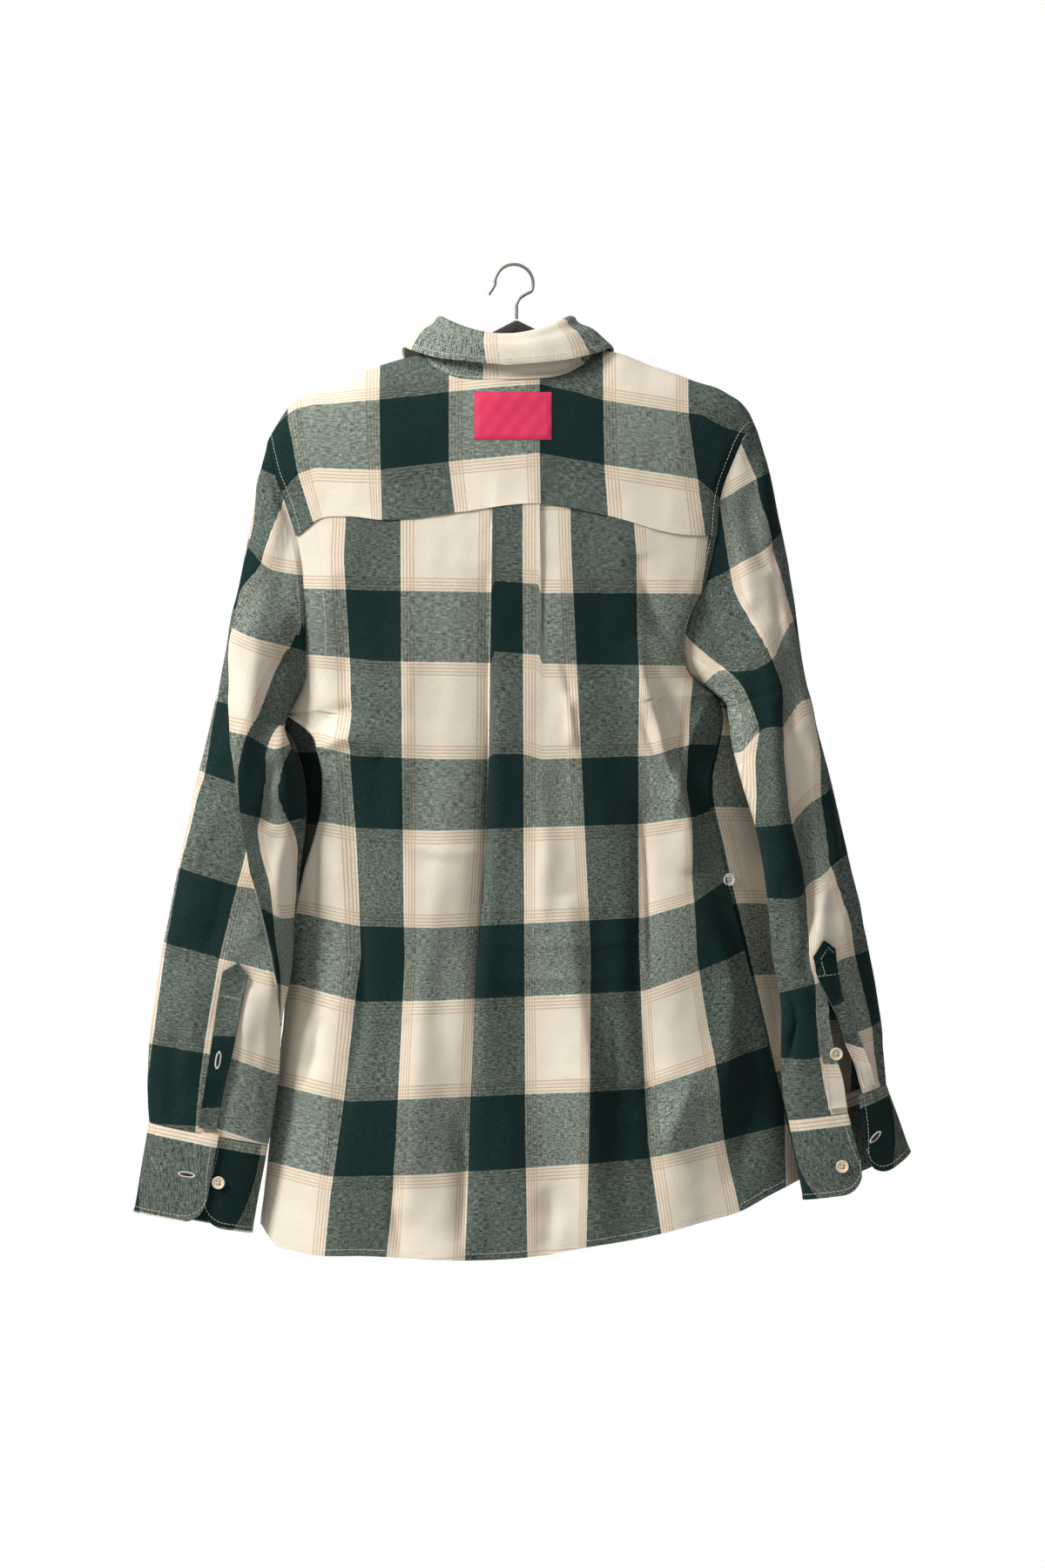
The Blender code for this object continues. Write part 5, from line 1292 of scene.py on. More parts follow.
def makeSleeve(side):
    form = sleeves[side]
    shares = np.linspace(0, sleeves["end"], sleeves["rows"] + 1)
    angles = np.array([sleeveAngles(side, share) for share in shares])
    points = sleevePoint(side, angles, shares[:, None])
    x, z = points[..., 0], points[..., 2]
    warps, wefts = sleeves["warps"], sleeves["wefts"]
    if side == "left":
        outerUv = clothUv(points, warps["leftOuter"], wefts["leftOuter"], sleeves["soft"])
        innerUv = clothUv(points, warps["leftInner"], wefts["leftInner"], sleeves["soft"])
        isInner = (x > threadAt(form["fold"], z, True)) & (z > form["foldEnd"])
        uv = np.where(isInner[..., None], innerUv, outerUv)
    else:
        uv = clothUv(points, warps["right"], wefts["right"], sleeves["soft"])
    # the hidden half goes on by length from the outer edge
    sign = form["behind"]
    for column in range(sleeves["hidden"] - 1, -1, -1):
        step = np.linalg.norm(points[:, column] - points[:, column + 1], axis=-1)
        uv[:, column, 0] = uv[:, column + 1, 0] + sign * step
        drop = points[:, column, 2] - points[:, column + 1, 2]
        uv[:, column, 1] = uv[:, column + 1, 1] - drop
    height = sleeveRelief(side, angles, shares[:, None], x, z)
    push = normalsOf(points)
    outward = np.sign((push * (points - points.mean(axis=1, keepdims=True))).sum())
    points = points + push * (outward * height)[..., None]
    gaps = []
    if side == "right":
        slitColumn = sleeves["hidden"] + sleeves["outerColumns"]
        slitTop = form["slit"]["share"][0]
        gaps = [(row, slitColumn) for row in range(len(shares) - 1) if shares[row] > slitTop]
    if outward < 0:
        points, uv = points[::-1], uv[::-1]
        gaps = [(len(shares) - 2 - row, column) for row, column in gaps]
    return clothPiece("sleeve" + side.capitalize(), points, uv, sleeves["wall"], "sleeve_" + side, gaps)


# cuffs, gauntlets and the slit's underlap

cuffs = {
    "wall": 0.0022, "depth": 0.022, "corner": 0.022, "rows": 26, "columns": 116, "lift": 0.0032,
    "warpStart": 0.1298, "warpScale": 0.87, "topDown": 0.006,
    "flap": {"over": 1.15, "across": 0.0075, "down": 0.0140, "spread": 0.5},
    "lap": (0.42, 0.34), "puff": ((0.0007, 0.003), (0.0006, 0.003)), "radius": 0.05,
    "slack": (61, 0.05, 0.0006),
    "tucked": ((0.0035, 0.0026, 0.004), (0.0004, 0.0024, 0.001)),   # up, in, and back on the cloth
    "left": {
        "outer": ((-0.3192, -0.010, -0.7463), (-0.3329, -0.010, -0.8238)),
        "inner": ((-0.2151, -0.016, -0.7661), (-0.2295, -0.014, -0.8421)),
        "ends": (97.0, 461.0),
        # metres from the button end, or back from the other end, and the band there in mm
        "bandAt": ((0.0, 12), (0.0425, 62), (0.110, 130), (-0.070, 354), (-0.0001, 420)),
    },
    "right": {
        "outer": ((0.3222, -0.020, -0.7129), (0.3435, -0.016, -0.7714)),
        "inner": ((0.2364, -0.028, -0.7433), (0.2495, -0.026, -0.8124)),
        "ends": (79.0, 426.0),
        "bandAt": ((0.0, 84), (0.0575, 146), (-0.033, 292), (-0.0001, 324)),
    },
}


def cuffPoint(side, angle, down):
    angle, down = np.broadcast_arrays(np.asarray(angle, float), np.asarray(down, float))
    outer, inner = np.array(cuffs[side]["outer"]), np.array(cuffs[side]["inner"])
    at = down[..., None]
    ring = ringPoint(outer[0] + (outer[1] - outer[0]) * at, inner[0] + (inner[1] - inner[0]) * at,
                     angle, np.full(down.shape, cuffs["depth"]))
    if side == "right":
        # the button end hangs lower, and the other end swings down and across
        form = cuffs["flap"]
        flap = np.clip((angle - 2 * math.pi) / form["over"], 0, 1) * down
        ring[..., 0] -= flap * form["across"]
        drop = np.where(angle < math.pi, endDrop(angle), 0.0) * (1 + form["spread"] * down)
        ring[..., 2] -= drop + flap * form["down"]
    return ring


def cuffUv(side, points, down):
    # warps run round the wrist here, so the bands along the cuff are wefts
    height = np.linalg.norm(np.subtract(*cuffs[side]["outer"]))
    along = arcLength(points, 1)
    total, none = along[:, -1:], 0 * along[:, :1]
    knots = [(none + at if at >= 0 else total + at) for at, _ in cuffs[side]["bandAt"]]
    around = stripeCoord(along, knots, [value for _, value in cuffs[side]["bandAt"]])
    return np.stack([cuffs["warpStart"] + down * height * cuffs["warpScale"], around], axis=-1)


def makeCuff(side):
    form = cuffs[side]
    first, last = (math.radians(a) for a in form["ends"])
    columns = cuffs["columns"]
    angles = np.linspace(first, last, columns + 1)
    middle = cuffPoint(side, angles, np.full(angles.shape, 0.5))
    along = runLengths(middle)
    fromEnd = np.minimum(along, along[-1] - along)
    corner = cuffs["corner"]
    rise = corner - np.sqrt(corner**2 - np.clip(corner - fromEnd, 0, corner) ** 2)
    height = np.linalg.norm(np.subtract(*form["outer"]))
    rows, downs = [], []
    for down in np.linspace(cuffs["topDown"], 1, cuffs["rows"] + 1):
        reach = down * (1 - rise / height * down)
        rows.append(cuffPoint(side, angles, reach))
        downs.append(reach)
    points, downs = np.array(rows), np.array(downs)
    uv = cuffUv(side, points, downs)
    outward = normalsOf(points)
    sign = np.sign((outward * (points - points.mean(axis=1, keepdims=True))).sum())
    overlap = last - first - 2 * math.pi
    start, reach = cuffs["lap"]
    over = ease((angles - (last - abs(overlap) - start)) / reach) if overlap > 0 else 0 * angles
    (endPuff, endWidth), (hemPuff, hemWidth) = cuffs["puff"]
    puff = endPuff * np.exp(-((fromEnd - endWidth) / endWidth) ** 2)
    puff = puff + hemPuff * np.exp(-((1 - downs) * height / hemWidth) ** 2)
    around = angles * cuffs["radius"] + 0 * points[..., 0]
    relief = over * cuffs["lift"] + puff + slackCloth(around, points[..., 2], *cuffs["slack"], False)
    points = points + outward * (sign * relief)[..., None]
    # its top goes up inside the sleeve
    up = (points[0] - points[2]) / np.linalg.norm(points[0] - points[2], axis=-1, keepdims=True)
    tucked = [points[0] + up * rise - outward[0] * sign * sink for rise, sink, _ in cuffs["tucked"]]
    points = np.concatenate([tucked, points])
    uv = np.concatenate([uv[:1] - (back, 0) for _, _, back in cuffs["tucked"]] + [uv])
    if sign < 0:
        points, uv = points[::-1], uv[::-1]
    return clothPiece("cuff" + side.capitalize(), points, uv, cuffs["wall"], "cuff_" + side)


stripCrown = (0.0005, 0.25)
pointReach = 0.30        # share of the rows that the pointed end takes
strips = {
    "gauntlet": {
        "point": 0.011, "rows": 60, "columns": 14, "wall": 0.0018, "lift": 0.0012,
        "leftUv": (0.016, 0.6703),
        "rightUv": {"skew": 0.35, "warp": 0.0545, "warpFrom": 0.676, "warpLeast": -0.045, "scale": 0.95,
                    "weft": 0.0645, "weftFrom": 0.642},
        "left": {"share": (0.752, 0.838, 0.920, 0.990), "low": (90.5, 89.3, 86.0, 82.0),
                 "high": (113.5, 109.8, 102.8, 98.6)},
        "right": {"share": (0.768, 0.803, 0.840, 0.875, 0.923, 0.950, 0.990),
                  "low": (75.0, 76.5, 75.0, 67.0, 57.0, 51.0, 44.0),
                  "high": (101.0, 100.5, 91.0, 82.3, 74.0, 66.4, 59.4)},
    },
    "underlap": {
        "point": 0.0, "rows": 40, "columns": 8, "wall": 0.0016, "lift": 0.0009,
        "uv": (0.080, 0.694, 0.062),
        "right": {"share": (0.848, 0.870, 0.912, 0.950, 0.990), "low": (92.2, 92.4, 88.0, 81.6, 79.8),
                  "high": (108.0, 106.0, 102.6, 100.0, 100.6)},
    },
}


def makeStrip(kind, side, uvOf):
    strip, edges = strips[kind], strips[kind][side]
    across = np.linspace(-1, 1, strip["columns"] + 1)
    shares = np.linspace(edges["share"][0], edges["share"][-1], strip["rows"] + 1)[:, None]
    low, high = (smoothCurve(shares, edges["share"], edges[edge]) for edge in ("low", "high"))
    angles = np.radians((low + high) / 2 + (high - low) / 2 * across)
    shares = shares + 0 * angles
    points = sleevePoint(side, angles, shares)
    relief = sleeveRelief(side, angles, shares, points[..., 0], points[..., 2])
    push = normalsOf(points)
    sign = -np.sign(push[..., 1].sum())
    crown = stripCrown[0] * np.exp(-((1 - np.abs(across)) / stripCrown[1]) ** 2)
    points = points + push * (sign * (relief + strip["lift"] + crown))[..., None]
    along = points[0] - points[3]
    along = along / np.linalg.norm(along, axis=-1, keepdims=True)
    fade = np.clip(1 - np.arange(strip["rows"] + 1) / (strip["rows"] * pointReach), 0, 1)
    points = points + along * (strip["point"] * (1 - np.abs(across)))[:, None] * fade[:, None, None]
    uv = uvOf(points)
    if sign < 0:
        points, uv = points[::-1], uv[::-1]
    return clothPiece(kind + side.capitalize(), points, uv, strip["wall"], f"{kind}_{side}", inward=False)


def gauntletUv(side):
    def read(points):
        across = arcLength(points, 1)
        down = -points[..., 2]
        if side == "left":
            warp, weft = strips["gauntlet"]["leftUv"]
            return np.stack([across + warp, down - weft], axis=-1)
        # cut askew, so that both threads change along it
        cut = strips["gauntlet"]["rightUv"]
        below = np.maximum(down - cut["warpFrom"], cut["warpLeast"])
        weft = (down - cut["weftFrom"]) * cut["scale"] + cut["weft"] - across * cut["skew"]
        return np.stack([across * cut["skew"] + cut["warp"] + below * cut["scale"], weft], axis=-1)
    return read


def underlapUv(points):
    warp, weftFrom, weft = strips["underlap"]["uv"]
    return np.stack([arcLength(points, 1) + warp, -points[..., 2] - weftFrom + weft], axis=-1)


# collar

collar = {
    "centre": -0.0095, "halfWidth": 0.058, "backY": -0.036, "frontY": 0.046, "sideZ": -0.0464,
    "backZ": -0.0645, "frontZ": -0.1250, "lap": 0.20, "lift": 0.0022, "bulge": 0.0020, "wall": 0.0023,
    "bandAt": ((-0.0690, 0.0), (-0.0176, 62.0), (0.0575, 146.0)),
    "leafRows": 20, "standRows": 10, "standColumns": 168, "leafColumns": 176, "leafEnd": 171,
    "lapShift": (0.78, 0.14, 0.0036),    # share of a half turn, over this share, outwards
    "warpStart": 0.0795, "upScale": 0.6,
    "foot": (0.0014, 0.0016), "footSpan": 0.4,
    "bow": {"shares": (0.66, 0.33), "out": 0.0056, "past": 1.4},
    "turned": ((0.0052, -0.0022), (0.0028, 0.0020), (-0.0012, 0.0030)),   # out and up over the fold
    "slack": (71, 0.05, 0.0007), "radius": 0.07, "puff": (0.0006, 0.003), "foldFade": 0.012,
}
leafEdge = {
    "angle": (0, 30, 55, 75, 92, 115, 140, 158, 172),
    "left": (-0.0070, -0.0400, -0.0700, -0.0900, -0.0980, -0.0960, -0.0780, -0.0560, -0.0190),
    "right": (-0.0070, 0.0300, 0.0560, 0.0770, 0.0850, 0.0820, 0.0640, 0.0420, 0.0050),
    "y": (-0.0455, -0.0435, -0.0350, -0.0180, 0.0000, 0.0340, 0.0640, 0.0750, 0.0720),
    "z": (-0.0897, -0.0865, -0.0820, -0.0750, -0.0715, -0.0880, -0.1420, -0.1960, -0.1600),
}


def neckEdge(angle, lower=0.0):
    across = neckAcross(angle)
    drop = lower * np.sqrt(np.abs(np.cos(angle))) / collar["footSpan"]
    back = torso(across, neckLevel(across, -1) - drop, -1)
    front = torso(across, neckLevel(across, 1) - drop, 1)
    return np.where((np.cos(angle) >= 0)[..., None], back, front)


def foldLine(angle):
    cosine = np.cos(angle)
    rear = cosine >= 0
    y = np.where(rear, collar["backY"], -collar["frontY"]) * cosine
    endZ = np.where(rear, collar["backZ"], collar["frontZ"])
    z = collar["sideZ"] + (endZ - collar["sideZ"]) * cosine**2
    return np.stack([collar["centre"] + collar["halfWidth"] * np.sin(angle), y, z], axis=-1)


def outwardOf(angle):
    return np.stack([np.sin(angle), -np.cos(angle), np.zeros_like(angle)], axis=-1)


def lapShift(angle):
    start, reach, out = collar["lapShift"]
    past = ease((-angle - math.pi * start) / (math.pi * reach))
    return (past * out)[..., None] * outwardOf(angle)


def collarUv(points, angles):
    arc = arcLength(points, 1)
    middle = int(np.argmin(np.abs(angles)))
    arc = arc - arc[:, middle:middle + 1]
    base = foldLine(angles)
    baseArc = runLengths(base)
    baseArc = baseArc - baseArc[middle]
    knots, values = zip(*collar["bandAt"])
    around = stripeCoord(np.broadcast_to(baseArc, arc.shape), list(knots), values)
    up = arcLength(points, 0)
    return np.stack([collar["warpStart"] + up * collar["upScale"], around], axis=-1)


def makeStand():
    end = math.pi + collar["lap"]
    angles = np.linspace(-end, end, collar["standColumns"])
    low, high = neckEdge(angles), foldLine(angles)
    height = np.linalg.norm(high - low, axis=-1, keepdims=True)
    rows = []
    for up in np.linspace(0, 1, collar["standRows"]):
        bulge = collar["bulge"] * math.sin(math.pi * up)
        reach = np.maximum(up, collar["lift"] / height)
        rows.append(low + (high - low) * reach + outwardOf(angles) * bulge + lapShift(angles))
    lower, out = collar["foot"]
    rows.insert(0, neckEdge(angles, lower) + outwardOf(angles) * out + lapShift(angles))
    points = np.array(rows)
    for row in range(1, len(rows)):
        same = np.linalg.norm(points[row] - points[row - 1], axis=-1) < 1e-5
        points[row][same] += (high - low)[same] * 1e-4
    return clothPiece("collarStand", points, collarUv(points, angles), collar["wall"], "collar_stand")


def makeLeaf():
    angles = np.radians(np.linspace(-collar["leafEnd"], collar["leafEnd"], collar["leafColumns"]))
    degrees = np.degrees(np.abs(angles))
    high = foldLine(angles)
    left, right, y, z = (tableAt(degrees, leafEdge, name, "angle") for name in ("left", "right", "y", "z"))
    low = np.stack([np.where(angles < 0, left, right), y, z], axis=-1)
    out, up, lap, bow = outwardOf(angles), np.array((0.0, 0.0, 1.0)), lapShift(angles), collar["bow"]
    rows = [low]
    for share in bow["shares"]:
        rows.append(high + (low - high) * share + out * bow["out"] * (bow["past"] - share))
    rows += [high + lap + out * outwards + up * upwards for outwards, upwards in collar["turned"]]
    points = smoothRows(rows, collar["leafRows"])
    uv = collarUv(points, angles)
    edge = arcLength(points, 0)
    relief = slackCloth(angles * collar["radius"] + 0 * edge, edge, *collar["slack"], False)
    height, width = collar["puff"]
    relief = relief + height * np.exp(-((edge - width) / width) ** 2)
    relief = relief * ease((edge[-1:] - edge) / collar["foldFade"])
    points = points + normalsOf(points) * relief[..., None]
    return clothPiece("collarLeaf", points, uv, collar["wall"], "collar_leaf")


makeBackPanel()
makeYoke()
for side in ("left", "right"):
    makeFront(side)
makeBand()
print("body made")
for make in (makeSleeve, makeCuff):
    for side in ("left", "right"):
        make(side)
for side in ("left", "right"):
    makeStrip("gauntlet", side, gauntletUv(side))
makeStrip("underlap", "right", underlapUv)
print("sleeves and cuffs made")
makeStand()
makeLeaf()
print("collar made")

# label


def surfaceUnder(piece, x, z, fromBack=True):
    # where a straight look from behind or in front meets a piece
    tree = BVHTree.FromObject(pieces[piece], bpy.context.evaluated_depsgraph_get())
    places, normals = [], []
    for px, pz in zip(np.ravel(x), np.ravel(z)):
        start, way = ((px, -1.0, pz), (0, 1, 0)) if fromBack else ((px, 1.0, pz), (0, -1, 0))
        place, normal, _, _ = tree.ray_cast(Vector(start), Vector(way))
        places.append(place if place else Vector((math.nan,) * 3))
        normals.append(normal if normal else Vector((math.nan,) * 3))
    return np.array(places).reshape(*np.shape(x), 3), np.array(normals).reshape(*np.shape(x), 3)


label = {"x": (-0.0357, 0.0312), "z": (-0.1543, -0.1125), "wall": 0.0007, "rows": 26, "columns": 40,
         "size": (67.0, 41.8), "ribs": 0.55, "threads": 0.7, "smoothing": 6, "off": 0.0004, "puff": 0.0010,
         "puffReach": 0.004, "wave": (0.0003, 400, 310)}


def labelLook():
    look, tree, shader = newLook("labelCloth", {"Sheen Weight": 0.03, "Specular IOR Level": 0.12})
    uvMap = uvIn(tree)
    parts = addNode(tree, "ShaderNodeSeparateXYZ", {}, {0: uvMap})
    u, v = Wire(tree, parts.outputs[0]) * 1000, Wire(tree, parts.outputs[1]) * 1000
    ribs = (v * (2 * math.pi / label["ribs"])).sine() * 0.5 + 0.5
    threads = (u * (2 * math.pi / label["threads"])).sine() * 0.5 + 0.5
    width, height = label["size"]
    mottle = noiseOf(tree, uvMap, 420.0, 2.0)
    edge = (u.least(width - u).least(v).least(height - v) * 0.8).held()
    tint = mixColours(tree, (mottle * 0.6 + ribs * threads * 0.06).held(), (0.69, 0.044, 0.116, 1),
                      (0.58, 0.034, 0.092, 1))
    colour = mixColours(tree, edge * 0.8 + 0.2, (0.50, 0.030, 0.080, 1), tint)
    finishLook(tree, shader, colour, 0.62 + ribs * 0.04, ribs * threads, 0.10, 0.0002)
    return look


def makeLabel():
    x, z = np.meshgrid(np.linspace(*label["x"], label["columns"] + 1),
                       np.linspace(*label["z"], label["rows"] + 1))
    places, _ = surfaceUnder("yokeCloth", x, z)
    y = places[..., 1]
    for _ in range(label["smoothing"]):
        y[1:-1, 1:-1] = (y[:-2, 1:-1] + y[2:, 1:-1] + y[1:-1, :-2] + y[1:-1, 2:]) / 4
    fromEdge = np.minimum(np.minimum(x - x[0, 0], x[0, -1] - x), np.minimum(z - z[0, 0], z[-1, 0] - z))
    height, paceX, paceZ = label["wave"]
    y = y - label["off"] - label["puff"] * ease(fromEdge / label["puffReach"])
    y = y - height * np.sin(x * paceX) * np.sin(z * paceZ)
    points = np.stack([x, y, z], axis=-1)
    uv = np.stack([x - x[0, 0], z - z[0, 0]], axis=-1)
    looks["label"] = labelLook()
    return clothPiece("labelPatch", points, uv, label["wall"], "label", look=looks["label"])


makeLabel()
print("label made")

# stitches

stitch = {"length": 0.0026, "gap": 0.0008, "thick": 0.00042}
stitchForm = {"sides": 6, "cuts": 0.30, "tip": 0.45, "bow": 1.6}
margins = {"edge": 0.0055, "armhole": 0.022, "collar": 0.0050, "stand": 0.0020, "cuff": 0.0050,
           "cuffHem": 0.0045, "label": 0.0018}


def stitchShape():
    # one stitch: a short thread, bowed, six sided
    bpy.ops.object.select_all(action="DESELECT")
    bpy.ops.mesh.primitive_cylinder_add(vertices=stitchForm["sides"], radius=0.5, depth=1.0,
                                        end_fill_type="TRIFAN", rotation=(0, math.radians(90), 0))
    thread = bpy.context.object
    bpy.ops.object.transform_apply(rotation=True)
    bpy.ops.object.mode_set(mode="EDIT")
    for cut in (stitchForm["cuts"], -stitchForm["cuts"]):
        bpy.ops.mesh.select_all(action="SELECT")
        bpy.ops.mesh.bisect(plane_co=(cut, 0, 0), plane_no=(1, 0, 0))
    bpy.ops.object.mode_set(mode="OBJECT")
    co = np.array([v.co for v in thread.data.vertices])
    tip = np.abs(co[:, 0]) > stitchForm["tip"]
    co[tip, 1:] *= stitchForm["tip"]
    co[:, 2] += stitchForm["cuts"] - stitchForm["bow"] * np.abs(co[:, 0]) ** 2
    faces = [tuple(f.vertices) for f in thread.data.polygons]
    bpy.data.objects.remove(thread)
    return co, faces


stitchCo, stitchFaces = stitchShape()


def sewRows(name, rows, look="creamThread", shape=None):
    # rows: (points on the cloth, normals there); stitches follow each row
    size = {**stitch, **(shape or {})}
    allCo, allFaces = [], []
    for path, normals in rows:
        path, normals = np.asarray(path, float), np.asarray(normals, float)
        good = np.isfinite(path).all(axis=1)
        path, normals = path[good], normals[good]
        if len(path) < 2:
            continue
        lengths = runLengths(path)
        pitch = size["length"] + size["gap"]
        for number in range(max(1, int(lengths[-1] / pitch))):
            ends = np.array([number * pitch, number * pitch + size["length"]])
            a, b = (np.array([np.interp(e, lengths, path[:, k]) for k in range(3)]) for e in ends)
            normal = np.array([np.interp(ends.mean(), lengths, normals[:, k]) for k in range(3)])
            way = b - a
            length = np.linalg.norm(way)
            if length < size["length"] * 0.5:
                continue
            way = way / length
            normal = normal - way * (normal @ way)
            normal = normal / np.linalg.norm(normal)
            side = np.cross(normal, way)
            co = stitchCo * (length, size["thick"], size["thick"])
            placed = (a + b) / 2 + co[:, :1] * way + co[:, 1:2] * side + co[:, 2:3] * normal
            base = len(allCo) * len(stitchCo)
            allCo.append(placed)
            allFaces += [tuple(base + i for i in f) for f in stitchFaces]
    mesh = bpy.data.meshes.new(name)
    mesh.from_pydata(np.concatenate(allCo).tolist(), [], allFaces)
    mesh.update()
    thread = bpy.data.objects.new(name, mesh)
    bpy.context.scene.collection.objects.link(thread)
    mesh.shade_smooth()
    mesh.materials.append(looks[look])
    return settle(thread, None)


def gridLine(name, distance, axis, fromEnd, chosen):
    # a path at this distance from the grid's first or last row or column, with its normals
    points, normals = forms[name], normalsOf(forms[name])
    if axis == 1:
        points, normals = points.swapaxes(0, 1), normals.swapaxes(0, 1)
    if fromEnd:
        points, normals = points[::-1], normals[::-1]
    arc = arcLength(points, 0)
    chosen = range(points.shape[1]) if chosen is None else chosen

    def place(grid, column):
        return [np.interp(distance, arc[:, column], grid[:, column, k]) for k in range(3)]

    return np.array([place(points, c) for c in chosen]), np.array([place(normals, c) for c in chosen])


def gridRow(name, distance, fromEnd=False, columns=None):
    return gridLine(name, distance, 0, fromEnd, columns)


def gridColumn(name, distance, fromEnd=False, rows=None):
    return gridLine(name, distance, 1, fromEnd, rows)


def allRound(name, distance):
    return [line(name, distance, fromEnd) for line in (gridRow, gridColumn) for fromEnd in (False, True)]


def drawnRow(piece, path, fromBack=True, count=60):
    # a row of stitches drawn on a piece as seen from behind
    points = placeAlong(np.asarray(path, float) * mm, np.linspace(0, 1, count))
    return surfaceUnder(piece, points[:, 0], points[:, 1], fromBack)


upperBack = range(backPanel["rows"][0] + 2, sum(backPanel["rows"]) + 1)
yokeBack = range(0, yoke["rows"][0] - 1)
hemEdge = margins["edge"]
rolled = len(backPanel["roll"]["turns"]) + 3     # the back's columns that its left edge hides
sewRows("hemStitches", [gridRow("backPanel", hemEdge, columns=range(rolled, forms["backPanel"].shape[1])),
                        gridRow("frontLeft", hemEdge), gridRow("frontRight", hemEdge)])
sewRows("armholeStitches", [
    gridColumn("backPanel", margins["armhole"], rows=upperBack),
    gridColumn("backPanel", hemEdge, True, rows=upperBack),
    gridColumn("yokeCloth", hemEdge, rows=yokeBack), gridColumn("yokeCloth", hemEdge, True, rows=yokeBack)])
sewRows("collarStitches",
        [gridRow("collarLeaf", margins["collar"]), gridRow("collarStand", margins["stand"])])
cuffRows = []
for name in ("cuffLeft", "cuffRight"):
    cuffRows += [gridRow(name, margins["cuff"]), gridRow(name, margins["cuffHem"], True),
                 gridColumn(name, margins["cuff"]), gridColumn(name, margins["cuff"], True)]
sewRows("cuffStitches", cuffRows)
gauntletPath = ((267.1, -616.4), (263.3, -603.1), (269.4, -592.8), (277.0, -599.6), (278.9, -616.4))
sewRows("gauntletStitches",
        [drawnRow("gauntletRight", pair, count=14) for pair in zip(gauntletPath, gauntletPath[1:])],
        shape={"length": 0.0013, "gap": 0.0008, "thick": 0.0006})
sewRows("bandStitches", [gridColumn("frontBand", hemEdge), gridColumn("frontBand", hemEdge, True)])
sewRows("labelStitches", allRound("labelPatch", margins["label"]), "pinkThread",
        {"length": 0.0017, "gap": 0.0006, "thick": 0.0003})
print("stitches sewn")

# buttons

button = {"radius": 0.0055, "thick": 0.0024, "rim": 0.0012, "dish": 0.0006, "hole": 0.00075,
          "holeOff": 0.00125, "sides": 40, "holeSides": 14, "slope": 0.0004, "floor": 0.0008,
          "bevel": (0.0004, 3), "crease": 40, "threadOff": 0.00018, "threadUp": 0.0002}


def buttonLook(name, colour, deep):
    look, tree, shader = newLook(name, {"Specular IOR Level": 0.5, "Coat Roughness": 0.12})
    place = placeIn(tree)
    cloud = noiseOf(tree, place, 240.0, 3.0, 0.6)
    grain = noiseOf(tree, place, 1400.0, 1.0)
    colour = mixColours(tree, ((cloud - 0.35) * 1.6).held(), (*colour, 1), (*deep, 1))
    finishLook(tree, shader, colour, 0.30 + cloud * 0.14, grain, 0.08, 0.0001)
    return look


def buttonShape():
    # a flat four-hole button with a raised rim, facing +Z, its back at z = 0
    bpy.ops.object.select_all(action="DESELECT")
    bpy.ops.mesh.primitive_cylinder_add(vertices=button["sides"], radius=button["radius"],
                                        depth=button["thick"], location=(0, 0, button["thick"] / 2))
    disc = bpy.context.object
    bpy.ops.object.transform_apply(location=True)
    bpy.ops.object.mode_set(mode="EDIT")
    bpy.ops.mesh.select_all(action="DESELECT")
    mesh = bmesh.from_edit_mesh(disc.data)
    for face in mesh.faces:
        face.select = face.normal.z > 0.9
    bmesh.update_edit_mesh(disc.data)
    bpy.ops.mesh.inset(thickness=button["rim"])
    bpy.ops.mesh.inset(thickness=button["slope"])
    bpy.ops.transform.translate(value=(0, 0, -button["dish"]))
    bpy.ops.mesh.inset(thickness=button["floor"])
    bpy.ops.object.mode_set(mode="OBJECT")
    rim = disc.modifiers.new("rim", "BEVEL")
    rim.width, rim.segments = button["bevel"]
    rim.limit_method, rim.angle_limit = "ANGLE", math.radians(button["crease"])
    bpy.ops.object.modifier_apply(modifier="rim")
    drills = []
    for a in (-1, 1):
        for b in (-1, 1):
            bpy.ops.mesh.primitive_cylinder_add(
                vertices=button["holeSides"], radius=button["hole"], depth=0.01,
                location=(a * button["holeOff"], b * button["holeOff"], 0))
            drills.append(bpy.context.object)
    for drill in drills:
        cut = disc.modifiers.new("hole", "BOOLEAN")
        cut.operation, cut.object, cut.solver = "DIFFERENCE", drill, "EXACT"
        bpy.context.view_layer.objects.active = disc
        bpy.ops.object.modifier_apply(modifier="hole")
    for drill in drills:
        bpy.data.objects.remove(drill)
    bpy.context.view_layer.objects.active = disc
    bpy.ops.object.select_all(action="DESELECT")
    disc.select_set(True)
    bpy.ops.object.shade_smooth_by_angle(angle=math.radians(button["crease"]))
    return disc


def placeOf(node):
    # centre of a CAD button and the way that it faces
    co = np.array([v.co for v in nodes[node].data.vertices])
    centre = co.mean(axis=0)
    _, _, axes = np.linalg.svd(co - centre)
    normal = axes[2]
    away = centre - np.array((-0.01, 0.0, centre[2]))
    return centre, normal * (1 if normal @ away > 0 else -1)


def turnTo(normal):
    return Vector(normal).to_track_quat("Z", "Y").to_matrix().to_4x4()


def crossThreads(centre, normal):
    # two crossed threads through the holes
    turn = np.array(turnTo(normal).to_3x3())
    off = button["holeOff"]
    rows = []
    for a, b in ((-1, -1), (-1, 1)):
        for shift in (-button["threadOff"], button["threadOff"]):
            start, end = np.array((a * off, b * off, 0.0)), np.array((-a * off, -b * off, 0.0))
            side = np.array((-b, a, 0.0)) * shift
            top = button["thick"] * 0.5 - button["dish"] + button["threadUp"]
            path = np.linspace(start, end, 5) + side + (0, 0, top)
            rows.append((centre + path @ turn.T, np.tile(np.asarray(normal, float), (5, 1))))
    return rows


